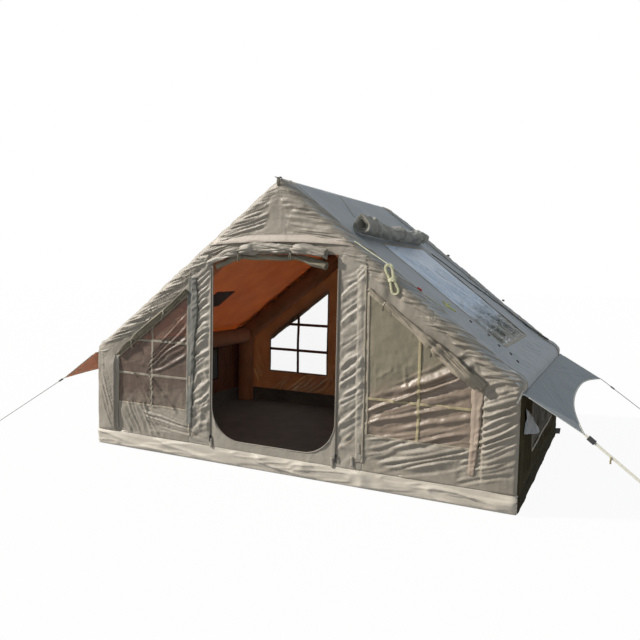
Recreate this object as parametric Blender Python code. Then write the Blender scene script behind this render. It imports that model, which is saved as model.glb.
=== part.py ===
"""Inflatable ridge tent with a doorway gable, clear windows, a skylight, two eave awnings and guy ropes.

Metres, +Z up. The front gable faces -Y, the ridge runs along Y, and the origin is the middle of the
groundsheet's underside. Cloth is drawn thicker than it is, so that each panel is a closed solid.
"""

from math import atan2, cos, pi, sin, tan

import bmesh
import bpy
from mathutils import Vector
from mathutils.geometry import tessellate_polygon

# Cabin
FLOOR_WIDTH = 3.00
FLOOR_DEPTH = 2.00
EAVE_HEIGHT = 0.70
RIDGE_HEIGHT = 1.86
EAVE_RADIUS = 0.085
CLOTH = 0.003
FILM = 0.002
SEAM_GAP = 0.0003

# Groundsheet tub
TUB_HEIGHT = 0.11
TUB_FLOOR = 0.004

# Air frame
TUBE_RADIUS = 0.075
TUBE_WALL = 0.0015
TUBE_CLEARANCE = 0.004
KNEE_BEND = 0.20
APEX_BEND = 0.13
TUBE_SIDES = 16

# Doorway
DOOR_CENTRE = -0.035
DOOR_WIDTH = 0.90
DOOR_SILL = 0.165
DOOR_BELOW_RIDGE = 0.468
DOOR_CORNER = 0.22
DOOR_STRIP = 0.18

# Rain flap over the door
RAIN_FLAP_LENGTH = 1.02
RAIN_FLAP_DEPTH = 0.042
RAIN_FLAP_RISE = 0.074
RAIN_FLAP_ARCH = 0.020

# Gable windows
WINDOW_CORNER = 0.03
WINDOW_DOOR_MARGIN = 0.02
FRONT_WINDOW_SLEEVE = 0.165
FRONT_WINDOW_SIDE = 0.21
FRONT_WINDOW_SILL = 0.33
REAR_WINDOW_SLEEVE = 0.26
REAR_WINDOW_INNER = 0.57
REAR_WINDOW_SIDE = 0.31
REAR_WINDOW_SILL = 0.30
TAPE_WIDTH = 0.028
TAPE_THICKNESS = 0.002
LEFT_TAPE_X = 0.985
LEFT_TAPE_BARS = (0.545, 0.785)
RIGHT_TAPE_X = 0.93
RIGHT_TAPE_BARS = (0.55,)
REAR_TAPE_X = 0.88
REAR_TAPE_BARS = (0.52, 0.77)

# Side windows
SIDE_WINDOW_LENGTH = 1.10
SIDE_WINDOW_SILL = 0.25
SIDE_WINDOW_HEAD = 0.56

# Skylight, along the right slope from the ridge and along Y
SKYLIGHT_UPPER = 0.60
SKYLIGHT_LENGTH = 1.045
SKYLIGHT_FRONT = -0.40
SKYLIGHT_REAR = 0.52

# Rolled covers
DOOR_ROLL_RADIUS = 0.0295
DOOR_ROLL_RISE = 0.036
DOOR_ROLL_LEFT_DROP = 0.083
DOOR_ROLL_RIGHT_DROP = 0.028
DOOR_ROLL_LEFT_OVER = 0.025
DOOR_ROLL_RIGHT_SHORT = 0.070
ROLL_PUCKER = 0.07
MESH_ROLL_RADIUS = 0.0165
MESH_ROLL_TOP = (
    (-0.455, 0.072), (-0.360, 0.030), (-0.250, 0.0), (-0.120, 0.001), (0.000, 0.002), (0.100, 0.002),
    (0.170, 0.005), (0.250, 0.022), (0.335, 0.047),
)
COVER_ROLL_RADIUS = 0.017
COVER_BUNCH_RADIUS = 0.032
SKYLIGHT_ROLL_RADIUS = 0.050
SKYLIGHT_ROLL_SLOPE = 0.520
SKYLIGHT_ROLL_SAG = 0.035
SKYLIGHT_ROLL_FRONT = -0.74
SKYLIGHT_ROLL_REAR = 0.64
SKYLIGHT_ROLL_BUNCH = 0.16
ROLL_LOBE = 0.10

# Zips beside the doorway
ZIP_WIDTH = 0.014
ZIP_THICKNESS = 0.002
ZIP_FOOT = 0.022
ZIP_HEAD = 0.092
SLIDER_WIDTH = 0.012
SLIDER_LENGTH = 0.020
SLIDER_DEPTH = 0.006
PULL_WIDTH = 0.007
PULL_LENGTH = 0.034
PULL_THICKNESS = 0.002
PULL_EAR = 0.001
PULL_CLEARANCE = 0.0006
SLIDER_START = 0.045

# Eave awnings
AWNING_TIP_X = 1.812
AWNING_TIP_Y = 1.006
AWNING_MIDDLE_X = 1.70
AWNING_ARC_POWER = 2.4
RIGHT_TIP_HEIGHT = 0.489
LEFT_TIP_HEIGHT = 0.452
AWNING_DROOP = 0.012

# Guy ropes
ROPE_DIAMETER = 0.005
STRAP_WIDTH = 0.015
STRAP_THICKNESS = 0.003
RIGHT_PEG_X = 2.435
LEFT_PEG_X = 2.500
PEG_Y = 1.070
HITCH_HEIGHT = 0.030
PEG_DIAMETER = 0.007
PEG_HEIGHT = 0.050
PEG_HEAD_DIAMETER = 0.018
PEG_HEAD_THICKNESS = 0.004
PEG_LEAN = 0.30
RUNNER_LENGTH = 0.034
RUNNER_WIDTH = 0.015
RUNNER_DEPTH = 0.011
BUCKLE_LENGTH = 0.042
BUCKLE_WIDTH = 0.027
BUCKLE_DEPTH = 0.012
BORE_CLEARANCE = 0.0006
FRONT_RUNNER_START = 0.040
REAR_RUNNER_START = 0.110

# Spare guy on the front rafter
HANK_LENGTH = 0.185
HANK_WAIST = 0.006
HANK_SHOULDER = 0.014
HANK_PITCH = 0.0063
HANK_TURNS = 6
HANK_LAYERS = 3
HANK_LOOP_POINTS = 24
HANK_X = 0.753
HANK_BELOW_ROOF = 0.0237
HANK_LEAN = 0.32
UPPER_LINE_Y = -0.985
UPPER_LINE_SLOPE = 0.635
LOWER_LINE = ((-0.985, 0.955), (-0.925, 1.030), (-0.872, 1.096), (-0.820, 1.180), (-0.770, 1.268))

# Inflation valve
VALVE_HEIGHT = 0.26
VALVE_RADIUS = 0.021
VALVE_FLANGE = 0.004
VALVE_NECK_RADIUS = 0.0164
VALVE_DEPTH = 0.014
VALVE_BORE = 0.010
VALVE_CAP_RADIUS = 0.0193
VALVE_CAP_DEPTH = 0.007
VALVE_HINGE_OUT = 0.003

# Worked out from the values above
DOOR_TOP = RIDGE_HEIGHT - DOOR_BELOW_RIDGE
HALF_WIDTH = FLOOR_WIDTH / 2
HALF_DEPTH = FLOOR_DEPTH / 2
SLOPE = atan2(RIDGE_HEIGHT - EAVE_HEIGHT, HALF_WIDTH)
EAVE_CENTRE_X = HALF_WIDTH - EAVE_RADIUS
EAVE_CENTRE_Z = RIDGE_HEIGHT - EAVE_CENTRE_X * tan(SLOPE) - EAVE_RADIUS / cos(SLOPE)
EAVE_STEPS = 6
LIP_HEIGHT = EAVE_CENTRE_Z - 0.004
PANEL_FOOT = TUB_HEIGHT + SEAM_GAP
PANEL_INSET = CLOTH + SEAM_GAP
DOOR_LEFT = DOOR_CENTRE - DOOR_WIDTH / 2
DOOR_RIGHT = DOOR_CENTRE + DOOR_WIDTH / 2
STRIP_LEFT = DOOR_LEFT - DOOR_STRIP
STRIP_RIGHT = DOOR_RIGHT + DOOR_STRIP
FRONT_FACE = -HALF_DEPTH
REAR_FACE = HALF_DEPTH

KHAKI = (0.42, 0.37, 0.29)
PALE_KHAKI = (0.58, 0.52, 0.43)
SHADE_BLUE = (0.20, 0.22, 0.24)
OLIVE = (0.16, 0.15, 0.09)
CLEAR = (0.55, 0.55, 0.52)
SKY = (0.45, 0.55, 0.68)
YELLOW_TAPE = (0.62, 0.58, 0.33)
ROPE_CREAM = (0.70, 0.69, 0.48)
STRAP_GREY = (0.66, 0.65, 0.60)
BLACK = (0.02, 0.02, 0.02)
STEEL = (0.55, 0.56, 0.58)
DARK_TUBE = (0.08, 0.05, 0.04)


def clear_scene():
    for obj in list(bpy.data.objects):
        bpy.data.objects.remove(obj, do_unlink=True)


def material(name, colour, roughness, metallic=0.0):
    made = bpy.data.materials.new(name)
    made.use_nodes = True
    shader = made.node_tree.nodes["Principled BSDF"]
    shader.inputs["Base Color"].default_value = (*colour, 1.0)
    shader.inputs["Roughness"].default_value = roughness
    shader.inputs["Metallic"].default_value = metallic
    made.diffuse_color = (*colour, 1.0)
    return made


def place_object(name, data, colour, roughness, metallic=0.0):
    obj = bpy.data.objects.new(name, data)
    obj.data.materials.append(material(name, colour, roughness, metallic))
    bpy.context.scene.collection.objects.link(obj)
    return obj


def solid(name, points, faces, colour, roughness=0.8, metallic=0.0, origin=(0.0, 0.0, 0.0), smooth=False):
    """One closed mesh; its faces are turned outward, and its object sits at origin."""
    origin = Vector(origin)
    mesh = bpy.data.meshes.new(name)
    mesh.from_pydata([Vector(p) - origin for p in points], [], faces)
    work = bmesh.new()
    work.from_mesh(mesh)
    bmesh.ops.remove_doubles(work, verts=work.verts, dist=1e-6)
    bmesh.ops.recalc_face_normals(work, faces=work.faces)
    work.to_mesh(mesh)
    work.free()
    if smooth:
        mesh.shade_smooth()
    obj = place_object(name, mesh, colour, roughness, metallic)
    obj.location = origin
    return obj


def sheet_solid(name, flat, faces, place, thickness, colour, roughness=0.8, origin=(0.0, 0.0, 0.0)):
    """A sheet with a thickness: place(u, v, w) has its outer side at w = 0, its inner side at w = thickness."""
    outer = [place(u, v, 0.0) for u, v in flat]
    inner = [place(u, v, thickness) for u, v in flat]
    count = len(flat)
    uses = {}
    for face in faces:
        for a, b in zip(face, face[1:] + face[:1]):
            uses.setdefault(frozenset((a, b)), []).append((a, b))
    rim = [pairs[0] for pairs in uses.values() if len(pairs) == 1]
    all_faces = [list(face) for face in faces]
    all_faces += [[i + count for i in reversed(face)] for face in faces]
    all_faces += [[b, a, a + count, b + count] for a, b in rim]
    return solid(name, outer + inner, all_faces, colour, roughness, origin=origin)


def flat_faces(loops):
    """Triangles of a flat outline with holes, as indices into all its points in a row."""
    return [list(t) for t in tessellate_polygon([[Vector((u, v, 0.0)) for u, v in loop] for loop in loops])]


def plate(name, loops, place, thickness, colour, roughness=0.8, origin=(0.0, 0.0, 0.0)):
    flat = [p for loop in loops for p in loop]
    return sheet_solid(name, flat, flat_faces(loops), place, thickness, colour, roughness, origin)


def front_place(face_y):
    return lambda u, v, w: (u, face_y + w, v)


def rear_place(face_y):
    return lambda u, v, w: (u, face_y - w, v)


def side_place(side, face_x):
    return lambda u, v, w: (side * (face_x - w), u, v)


def clip(points, keep):
    """The part of a convex outline where keep(point) is at least 0, by the crossing of each edge."""
    kept = []
    for a, b in zip(points, points[1:] + points[:1]):
        side_a, side_b = keep(a), keep(b)
        if side_a >= 0:
            kept.append(a)
        if side_a * side_b < 0:
            t = side_a / (side_a - side_b)
            kept.append((a[0] + t * (b[0] - a[0]), a[1] + t * (b[1] - a[1])))
    return kept


def inset(points, distance):
    """A convex outline, counter-clockwise, with each edge moved inward by distance."""
    moved = []
    count = len(points)
    for i in range(count):
        before, here, after = points[i - 1], points[i], points[(i + 1) % count]
        first = Vector((here[0] - before[0], here[1] - before[1])).normalized()
        second = Vector((after[0] - here[0], after[1] - here[1])).normalized()
        normal = (Vector((-first.y, first.x)) + Vector((-second.y, second.x))).normalized()
        reach = distance / normal.dot(Vector((-first.y, first.x)))
        moved.append((here[0] + normal.x * reach, here[1] + normal.y * reach))
    return moved


def rounded(points, radius, steps=4):
    """A convex outline, counter-clockwise, with each corner turned into an arc."""
    soft = []
    count = len(points)
    for i in range(count):
        before, here, after = points[i - 1], points[i], points[(i + 1) % count]
        first = Vector((here[0] - before[0], here[1] - before[1])).normalized()
        second = Vector((after[0] - here[0], after[1] - here[1])).normalized()
        turn = atan2(first.x * second.y - first.y * second.x, first.dot(second))
        back = radius * tan(turn / 2)
        start = Vector(here) - first * back
        centre = start + Vector((-first.y, first.x)) * radius
        begin = atan2(start.y - centre.y, start.x - centre.x)
        for step in range(steps + 1):
            angle = begin + turn * step / steps
            soft.append((centre.x + radius * cos(angle), centre.y + radius * sin(angle)))
    return soft


def rafter_height(x, depth=0.0):
    """Height of the roof line at x, for a line lying depth square below the outer one."""
    return RIDGE_HEIGHT - depth / cos(SLOPE) - abs(x) * tan(SLOPE)


def rafter_reach(z, depth=0.0):
    return (RIDGE_HEIGHT - depth / cos(SLOPE) - z) / tan(SLOPE)


def eave_arc(side, depth):
    """Round of the eave from the roof to the wall, depth inside the outer one."""
    arc = []
    for step in range(EAVE_STEPS + 1):
        angle = (pi / 2 - SLOPE) * (1 - step / EAVE_STEPS)
        reach = EAVE_RADIUS - depth
        arc.append((side * (EAVE_CENTRE_X + reach * cos(angle)), EAVE_CENTRE_Z + reach * sin(angle)))
    return arc


def gable_outline():
    """The gable inside the roof and the side walls, counter-clockwise from the bottom left."""
    wall = HALF_WIDTH - PANEL_INSET
    right = list(reversed(eave_arc(1, PANEL_INSET)))
    left = eave_arc(-1, PANEL_INSET)
    apex = (0.0, rafter_height(0.0, PANEL_INSET))
    return [(-wall, PANEL_FOOT), (wall, PANEL_FOOT)] + right + [apex] + left


def door_outline(offset=0.0):
    """Edge of the doorway from its top left, down, across the sill and up to its top right."""
    left, right = DOOR_LEFT - offset, DOOR_RIGHT + offset
    sill = DOOR_SILL - offset
    bend = DOOR_CORNER + offset
    points = [(left, DOOR_TOP)]
    for centre_x, begin in ((left + bend, pi), (right - bend, 1.5 * pi)):
        for step in range(9):
            angle = begin + (pi / 2) * step / 8
            points.append((centre_x + bend * cos(angle), sill + bend + bend * sin(angle)))
    points.append((right, DOOR_TOP))
    return points


def window_corners(inner, outer, sill, sleeve, side):
    """A gable window's four corners, its top parallel to the rafter, counter-clockwise."""
    right = [
        (inner, sill),
        (outer, sill),
        (outer, rafter_height(outer, sleeve)),
        (inner, rafter_height(inner, sleeve)),
    ]
    return right if side > 0 else [(-x, z) for x, z in reversed(right)]


def front_window(side):
    strip = STRIP_RIGHT if side > 0 else -STRIP_LEFT
    return window_corners(
        strip + WINDOW_DOOR_MARGIN, HALF_WIDTH - FRONT_WINDOW_SIDE, FRONT_WINDOW_SILL, FRONT_WINDOW_SLEEVE, side
    )


def rear_window(side):
    return window_corners(
        REAR_WINDOW_INNER, HALF_WIDTH - REAR_WINDOW_SIDE, REAR_WINDOW_SILL, REAR_WINDOW_SLEEVE, side
    )


def side_window():
    half = SIDE_WINDOW_LENGTH / 2
    low, high = SIDE_WINDOW_SILL, SIDE_WINDOW_HEAD
    return [(-half, low), (half, low), (half, high), (-half, high)]


def pane(corners):
    return rounded(inset(corners, SEAM_GAP), WINDOW_CORNER - SEAM_GAP)


def tape_outline(corners, upright, bars, sleeve, side):
    """One upright tape and its bars, as one outline inside the window, on the right side and then mirrored."""
    xs = [abs(x) for x, _ in corners]
    low = min(z for _, z in corners) + SEAM_GAP
    inner, outer = min(xs) + SEAM_GAP, max(xs) - SEAM_GAP
    half = TAPE_WIDTH / 2

    def reach(z):
        return min(outer, rafter_reach(z + half, sleeve + SEAM_GAP))

    right = [(upright - half, low), (upright + half, low)]
    for z in bars:
        near, far = upright + half, reach(z)
        right += [(near, z - half), (far, z - half), (far, z + half), (near, z + half)]
    right += [
        (upright + half, rafter_height(upright + half, sleeve + SEAM_GAP)),
        (upright - half, rafter_height(upright + half, sleeve + SEAM_GAP)),
    ]
    for z in reversed(bars):
        near = upright - half
        right += [(near, z + half), (inner, z + half), (inner, z - half), (near, z - half)]
    return right if side > 0 else [(-x, z) for x, z in reversed(right)]


def groundsheet():
    """A tray: floor and four low walls."""
    outer = [
        (-HALF_WIDTH, -HALF_DEPTH), (HALF_WIDTH, -HALF_DEPTH), (HALF_WIDTH, HALF_DEPTH), (-HALF_WIDTH, HALF_DEPTH),
    ]
    inner = inset(outer, CLOTH)
    rings = [
        [(x, y, 0.0) for x, y in outer],
        [(x, y, TUB_HEIGHT) for x, y in outer],
        [(x, y, TUB_HEIGHT) for x, y in inner],
        [(x, y, TUB_FLOOR) for x, y in inner],
    ]
    faces = [[3, 2, 1, 0], [12, 13, 14, 15]]
    for ring in range(3):
        for i in range(4):
            j = (i + 1) % 4
            faces.append([4 * ring + i, 4 * ring + j, 4 * ring + 4 + j, 4 * ring + 4 + i])
    solid("groundsheet", [p for ring in rings for p in ring], faces, PALE_KHAKI)


def front_gable():
    """The front wall's sewn panels: two window panels, the door surround and the gable above the door."""
    outline = gable_outline()
    place = front_place(FRONT_FACE)
    for side, name in ((-1, "front_left_panel"), (1, "front_right_panel")):
        edge = STRIP_RIGHT if side > 0 else -STRIP_LEFT
        panel = clip(outline, lambda p: side * p[0] - edge - SEAM_GAP)
        plate(name, [panel, rounded(front_window(side), WINDOW_CORNER)], place, CLOTH, KHAKI)

    head = clip(outline, lambda p: p[1] - DOOR_TOP - SEAM_GAP)
    head = clip(clip(head, lambda p: p[0] - STRIP_LEFT), lambda p: STRIP_RIGHT - p[0])
    plate("front_gable_panel", [head], place, CLOTH, KHAKI)

    body = clip(clip(outline, lambda p: p[0] - STRIP_LEFT), lambda p: STRIP_RIGHT - p[0])
    body = clip(body, lambda p: DOOR_TOP - p[1])
    low_left = min(range(len(body)), key=lambda i: (round(body[i][1], 6), body[i][0]))
    body = body[low_left:] + body[:low_left]
    top = [i for i, p in enumerate(body) if abs(p[1] - DOOR_TOP) < 1e-9]
    surround = body[: top[0] + 1] + list(reversed(door_outline())) + body[top[0] + 1 :]
    plate("door_surround_panel", [surround], place, CLOTH, PALE_KHAKI)


def rear_gable():
    holes = [rounded(rear_window(side), WINDOW_CORNER) for side in (-1, 1)]
    plate("rear_wall", [gable_outline()] + holes, rear_place(REAR_FACE), CLOTH, KHAKI)


def side_walls():
    top = LIP_HEIGHT - SEAM_GAP
    wall = [(-HALF_DEPTH, PANEL_FOOT), (HALF_DEPTH, PANEL_FOOT), (HALF_DEPTH, top), (-HALF_DEPTH, top)]
    for side, name in ((-1, "left"), (1, "right")):
        place = side_place(side, HALF_WIDTH)
        plate(name + "_wall", [wall, rounded(side_window(), WINDOW_CORNER)], place, CLOTH, OLIVE)
        film_face = HALF_WIDTH - (CLOTH - FILM) / 2
        plate(name + "_side_film", [pane(side_window())], side_place(side, film_face), FILM, CLEAR, 0.2)


def roof_place(side):
    """Unrolled roof to the row frame: u runs along Y, v down the slope, round the eave and down the lip."""
    flat_length = EAVE_CENTRE_X / cos(SLOPE) + EAVE_RADIUS * tan(SLOPE)
    arc_length = EAVE_RADIUS * (pi / 2 - SLOPE)

    def place(u, v, w):
        if v <= flat_length:
            x = max(v * cos(SLOPE) - w * sin(SLOPE), SEAM_GAP / 2)
            return (side * x, u, rafter_height(x, w))
        if v <= flat_length + arc_length:
            angle = pi / 2 - SLOPE - (v - flat_length) / EAVE_RADIUS
            reach = EAVE_RADIUS - w
            return (side * (EAVE_CENTRE_X + reach * cos(angle)), u, EAVE_CENTRE_Z + reach * sin(angle))
        return (side * (HALF_WIDTH - w), u, EAVE_CENTRE_Z - (v - flat_length - arc_length))

    return place, flat_length, arc_length


def skylight_corners():
    lower = SKYLIGHT_UPPER + SKYLIGHT_LENGTH
    front, rear = SKYLIGHT_FRONT, SKYLIGHT_REAR
    return [(front, SKYLIGHT_UPPER), (rear, SKYLIGHT_UPPER), (rear, lower), (front, lower)]


def roofs():
    for side, name in ((-1, "left_roof"), (1, "right_roof")):
        place, flat_length, arc_length = roof_place(side)
        slope = [(-HALF_DEPTH, 0.0), (HALF_DEPTH, 0.0), (HALF_DEPTH, flat_length), (-HALF_DEPTH, flat_length)]
        loops = [slope]
        if side > 0:
            loops.append(rounded(skylight_corners(), WINDOW_CORNER))
        flat = [p for loop in loops for p in loop]
        faces = flat_faces(loops)
        front, rear = 3, 2
        downs = [flat_length + arc_length * step / EAVE_STEPS for step in range(1, EAVE_STEPS + 1)]
        downs.append(flat_length + arc_length + EAVE_CENTRE_Z - LIP_HEIGHT)
        for v in downs:
            flat += [(-HALF_DEPTH, v), (HALF_DEPTH, v)]
            faces.append([front, rear, len(flat) - 1, len(flat) - 2])
            front, rear = len(flat) - 2, len(flat) - 1
        sheet_solid(name, flat, faces, place, CLOTH, SHADE_BLUE)
        if side > 0:
            lift = (CLOTH - FILM) / 2
            film_place = lambda u, v, w: place(u, v, w + lift)
            plate("skylight_film", [pane(skylight_corners())], film_place, FILM, SKY, 0.1)


def windows():
    """Films in the gable windows and the tapes sewn over them, just outside the film."""
    film_depth = CLOTH - FILM
    tape_face = film_depth - SEAM_GAP - TAPE_THICKNESS
    front_grid = {-1: (LEFT_TAPE_X, LEFT_TAPE_BARS), 1: (RIGHT_TAPE_X, RIGHT_TAPE_BARS)}
    for side, name in ((-1, "left"), (1, "right")):
        corners = front_window(side)
        plate(f"front_{name}_film", [pane(corners)], front_place(FRONT_FACE + film_depth), FILM, CLEAR, 0.2)
        upright, bars = front_grid[side]
        tapes = tape_outline(corners, upright, bars, FRONT_WINDOW_SLEEVE, side)
        place = front_place(FRONT_FACE + tape_face)
        plate(f"front_{name}_tapes", [tapes], place, TAPE_THICKNESS, YELLOW_TAPE)
        corners = rear_window(side)
        plate(f"rear_{name}_film", [pane(corners)], rear_place(REAR_FACE - film_depth), FILM, CLEAR, 0.2)
        tapes = tape_outline(corners, REAR_TAPE_X, REAR_TAPE_BARS, REAR_WINDOW_SLEEVE, side)
        plate(f"rear_{name}_tapes", [tapes], rear_place(REAR_FACE - tape_face), TAPE_THICKNESS, YELLOW_TAPE)


def ring_frames(path):
    """For each point of a path: the way along it, and two ways square to it that turn as little as can be."""
    path = [Vector(p) for p in path]
    ways = []
    for i in range(len(path)):
        ways.append((path[min(i + 1, len(path) - 1)] - path[max(i - 1, 0)]).normalized())
    start = Vector((0.0, 1.0, 0.0)) if abs(ways[0].y) < 0.9 else Vector((0.0, 0.0, 1.0))
    across = (start - ways[0] * start.dot(ways[0])).normalized()
    frames = []
    for point, way in zip(path, ways):
        across = (across - way * across.dot(way)).normalized()
        frames.append((point, way, across, way.cross(across)))
    return frames


def ring(point, across, up, radius_at, sides):
    angles = [2 * pi * k / sides for k in range(sides)]
    return [point + (across * cos(angle) + up * sin(angle)) * radius_at(angle) for angle in angles]


def bands(first, second, sides):
    return [[first + k, first + (k + 1) % sides, second + (k + 1) % sides, second + k] for k in range(sides)]


def air_tube(name, path):
    """A tube of cloth and bladder, open at both ends, where it stands on the floor or meets a port."""
    points, faces = [], []
    frames = ring_frames(path)
    for radius in (TUBE_RADIUS, TUBE_RADIUS - TUBE_WALL):
        for point, _, across, up in frames:
            points += ring(point, across, up, lambda _: radius, TUBE_SIDES)
    count = len(frames)
    for i in range(count - 1):
        faces += bands(TUBE_SIDES * i, TUBE_SIDES * (i + 1), TUBE_SIDES)
        inner = TUBE_SIDES * (count + i)
        faces += [face[::-1] for face in bands(inner, inner + TUBE_SIDES, TUBE_SIDES)]
    faces += [face[::-1] for face in bands(0, TUBE_SIDES * count, TUBE_SIDES)]
    faces += bands(TUBE_SIDES * (count - 1), TUBE_SIDES * (2 * count - 1), TUBE_SIDES)
    return solid(name, points, faces, DARK_TUBE, 0.7, smooth=True)


def bend(before, corner, after, radius, steps):
    """Points of an arc of that radius that rounds the corner between two straight runs."""
    first = (corner - before).normalized()
    second = (after - corner).normalized()
    turn = first.angle(second)
    back = radius * tan(turn / 2)
    start = corner - first * back
    inward = (second - first * first.dot(second)).normalized()
    centre = start + inward * radius
    return [
        centre - inward * radius * cos(turn * k / steps) + first * radius * sin(turn * k / steps)
        for k in range(steps + 1)
    ]


def air_frame():
    """Two pentagon arches behind the gables, a ridge tube and two eave tubes between them."""
    depth = CLOTH + TUBE_CLEARANCE + TUBE_RADIUS
    foot = TUB_FLOOR + SEAM_GAP
    arch_y = HALF_DEPTH - depth
    leg_x = HALF_WIDTH - depth
    apex = Vector((0.0, 0.0, rafter_height(0.0, depth)))
    knees = {side: Vector((side * leg_x, 0.0, rafter_height(leg_x, depth))) for side in (-1, 1)}
    feet = {side: Vector((side * leg_x, 0.0, foot)) for side in (-1, 1)}
    arch = [feet[-1]]
    arch += bend(feet[-1], knees[-1], apex, KNEE_BEND, 5)
    arch += bend(knees[-1], apex, knees[1], APEX_BEND, 6)
    arch += bend(apex, knees[1], feet[1], KNEE_BEND, 5)
    arch.append(feet[1])
    for name, y in (("front_arch_tube", -arch_y), ("rear_arch_tube", arch_y)):
        air_tube(name, [p + Vector((0.0, y, 0.0)) for p in arch])

    end = arch_y - TUBE_RADIUS - SEAM_GAP
    crown = bend(knees[-1], apex, knees[1], APEX_BEND, 6)[3]
    air_tube("ridge_tube", [(0.0, -end, crown.z), (0.0, end, crown.z)])
    for side, name in ((-1, "left_eave_tube"), (1, "right_eave_tube")):
        arc = bend(feet[side], knees[side], apex, KNEE_BEND, 6)[3]
        air_tube(name, [(arc.x, -end, arc.z), (arc.x, end, arc.z)])
    return leg_x, arch_y


def roll(name, path, radii, away, lean, colour, sides=12, lobes=3, twist=2.0):
    """Cloth rolled round a line: rings that swell and shrink in lobes, each one seated on the path's surface.

    The path runs on the surface that carries the roll, and away points out of that surface.
    """
    points, faces = [], []
    frames = ring_frames(path)
    last = len(frames) - 1
    for i, (point, _, across, up) in enumerate(frames):
        phase = lean + twist * i / last

        def radius_at(angle, size=radii[i], turn=phase):
            return size * (1 + ROLL_LOBE * cos(lobes * angle + turn))

        loop = ring(point, across, up, radius_at, sides)
        seat = max((point - p).dot(away) for p in loop) + SEAM_GAP
        points += [p + away * seat for p in loop]
    for i in range(last):
        faces += bands(sides * i, sides * (i + 1), sides)
    faces += [list(range(sides))[::-1], [sides * last + k for k in range(sides)]]
    return solid(name, points, faces, colour, 0.8, smooth=True)


def door_rolls():
    """The outer door rolled up in front of the door's top edge, and the mesh door's thinner roll under it."""
    left, right = DOOR_LEFT - DOOR_ROLL_LEFT_OVER, DOOR_RIGHT - DOOR_ROLL_RIGHT_SHORT
    middle, half = (left + right) / 2, (right - left) / 2
    steps = 16
    path, radii = [], []
    for k in range(steps + 1):
        u = 2 * k / steps - 1
        drop = (DOOR_ROLL_LEFT_DROP if u < 0 else DOOR_ROLL_RIGHT_DROP) * abs(u) ** 2.2
        radii.append(DOOR_ROLL_RADIUS * (1.0 - ROLL_PUCKER * cos(5 * pi * u)))
        path.append((middle + half * u, FRONT_FACE, DOOR_TOP + DOOR_ROLL_RISE - drop))
    roll("outer_door_roll", path, radii, Vector((0.0, -1.0, 0.0)), 0.4, PALE_KHAKI)

    top_line = [Vector((x, FRONT_FACE + CLOTH / 2, DOOR_TOP - drop)) for x, drop in MESH_ROLL_TOP]
    path = [Vector((p.x, p.y, min(p.z, DOOR_TOP))) for p in smooth_line(top_line, 22)]
    roll("mesh_door_roll", path, [MESH_ROLL_RADIUS] * len(path), Vector((0.0, 0.0, -1.0)), 0.4, OLIVE)


def window_rolls():
    """Window covers rolled up along the slanted heads of the gable windows, outside the wall."""
    steps = 14
    for gable, face, out, corners_of, sleeve in (
        ("front", FRONT_FACE, -1.0, front_window, FRONT_WINDOW_SLEEVE),
        ("rear", REAR_FACE, 1.0, rear_window, REAR_WINDOW_SLEEVE),
    ):
        for side, name in ((-1, "left"), (1, "right")):
            bunched = gable == "front" and side > 0
            swell = COVER_BUNCH_RADIUS - COVER_ROLL_RADIUS if bunched else 0.15 * COVER_ROLL_RADIUS
            xs = sorted(abs(x) for x, _ in corners_of(side))
            path, radii = [], []
            for k in range(steps + 1):
                t = k / steps
                x = xs[0] + (xs[-1] - xs[0]) * t
                radii.append(COVER_ROLL_RADIUS + swell * sin(pi * max(0.0, t - 0.25) / 0.75) ** 2)
                path.append((side * x, face, rafter_height(x, sleeve - COVER_ROLL_RADIUS)))
            roll(f"{gable}_{name}_cover_roll", path, radii, Vector((0.0, out, 0.0)), 0.9, KHAKI, sides=10)


def skylight_roll():
    """The skylight's cover rolled up along the top of the film, resting on the right slope."""
    place, _, _ = roof_place(1)
    steps = 18
    path, radii = [], []
    for k in range(steps + 1):
        t = k / steps
        u = 2 * t - 1
        y = SKYLIGHT_ROLL_FRONT + (SKYLIGHT_ROLL_REAR - SKYLIGHT_ROLL_FRONT) * t
        bunch = SKYLIGHT_ROLL_BUNCH * max(0.0, 1 - 6 * t)
        radii.append(SKYLIGHT_ROLL_RADIUS * (1.0 + bunch + ROLL_PUCKER * cos(3 * pi * u)))
        path.append(place(y, SKYLIGHT_ROLL_SLOPE + SKYLIGHT_ROLL_SAG * (1 - u * u), 0.0))
    roof_out = Vector((sin(SLOPE), 0.0, cos(SLOPE)))
    roll("skylight_cover_roll", path, radii, roof_out, 0.2, OLIVE, sides=14)


def rain_flap():
    half = RAIN_FLAP_LENGTH / 2
    count = 12
    low, high = [], []
    for k in range(count + 1):
        x = -half + 2 * half * k / count
        arch = RAIN_FLAP_ARCH * (1 - (x / half) ** 2)
        base = DOOR_TOP + RAIN_FLAP_RISE + arch - RAIN_FLAP_DEPTH / 2
        low.append((x, base))
        high.append((x, base + RAIN_FLAP_DEPTH))
    face = FRONT_FACE - SEAM_GAP - CLOTH
    plate("door_rain_flap", [low + high[::-1]], front_place(face), CLOTH, PALE_KHAKI)


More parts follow.
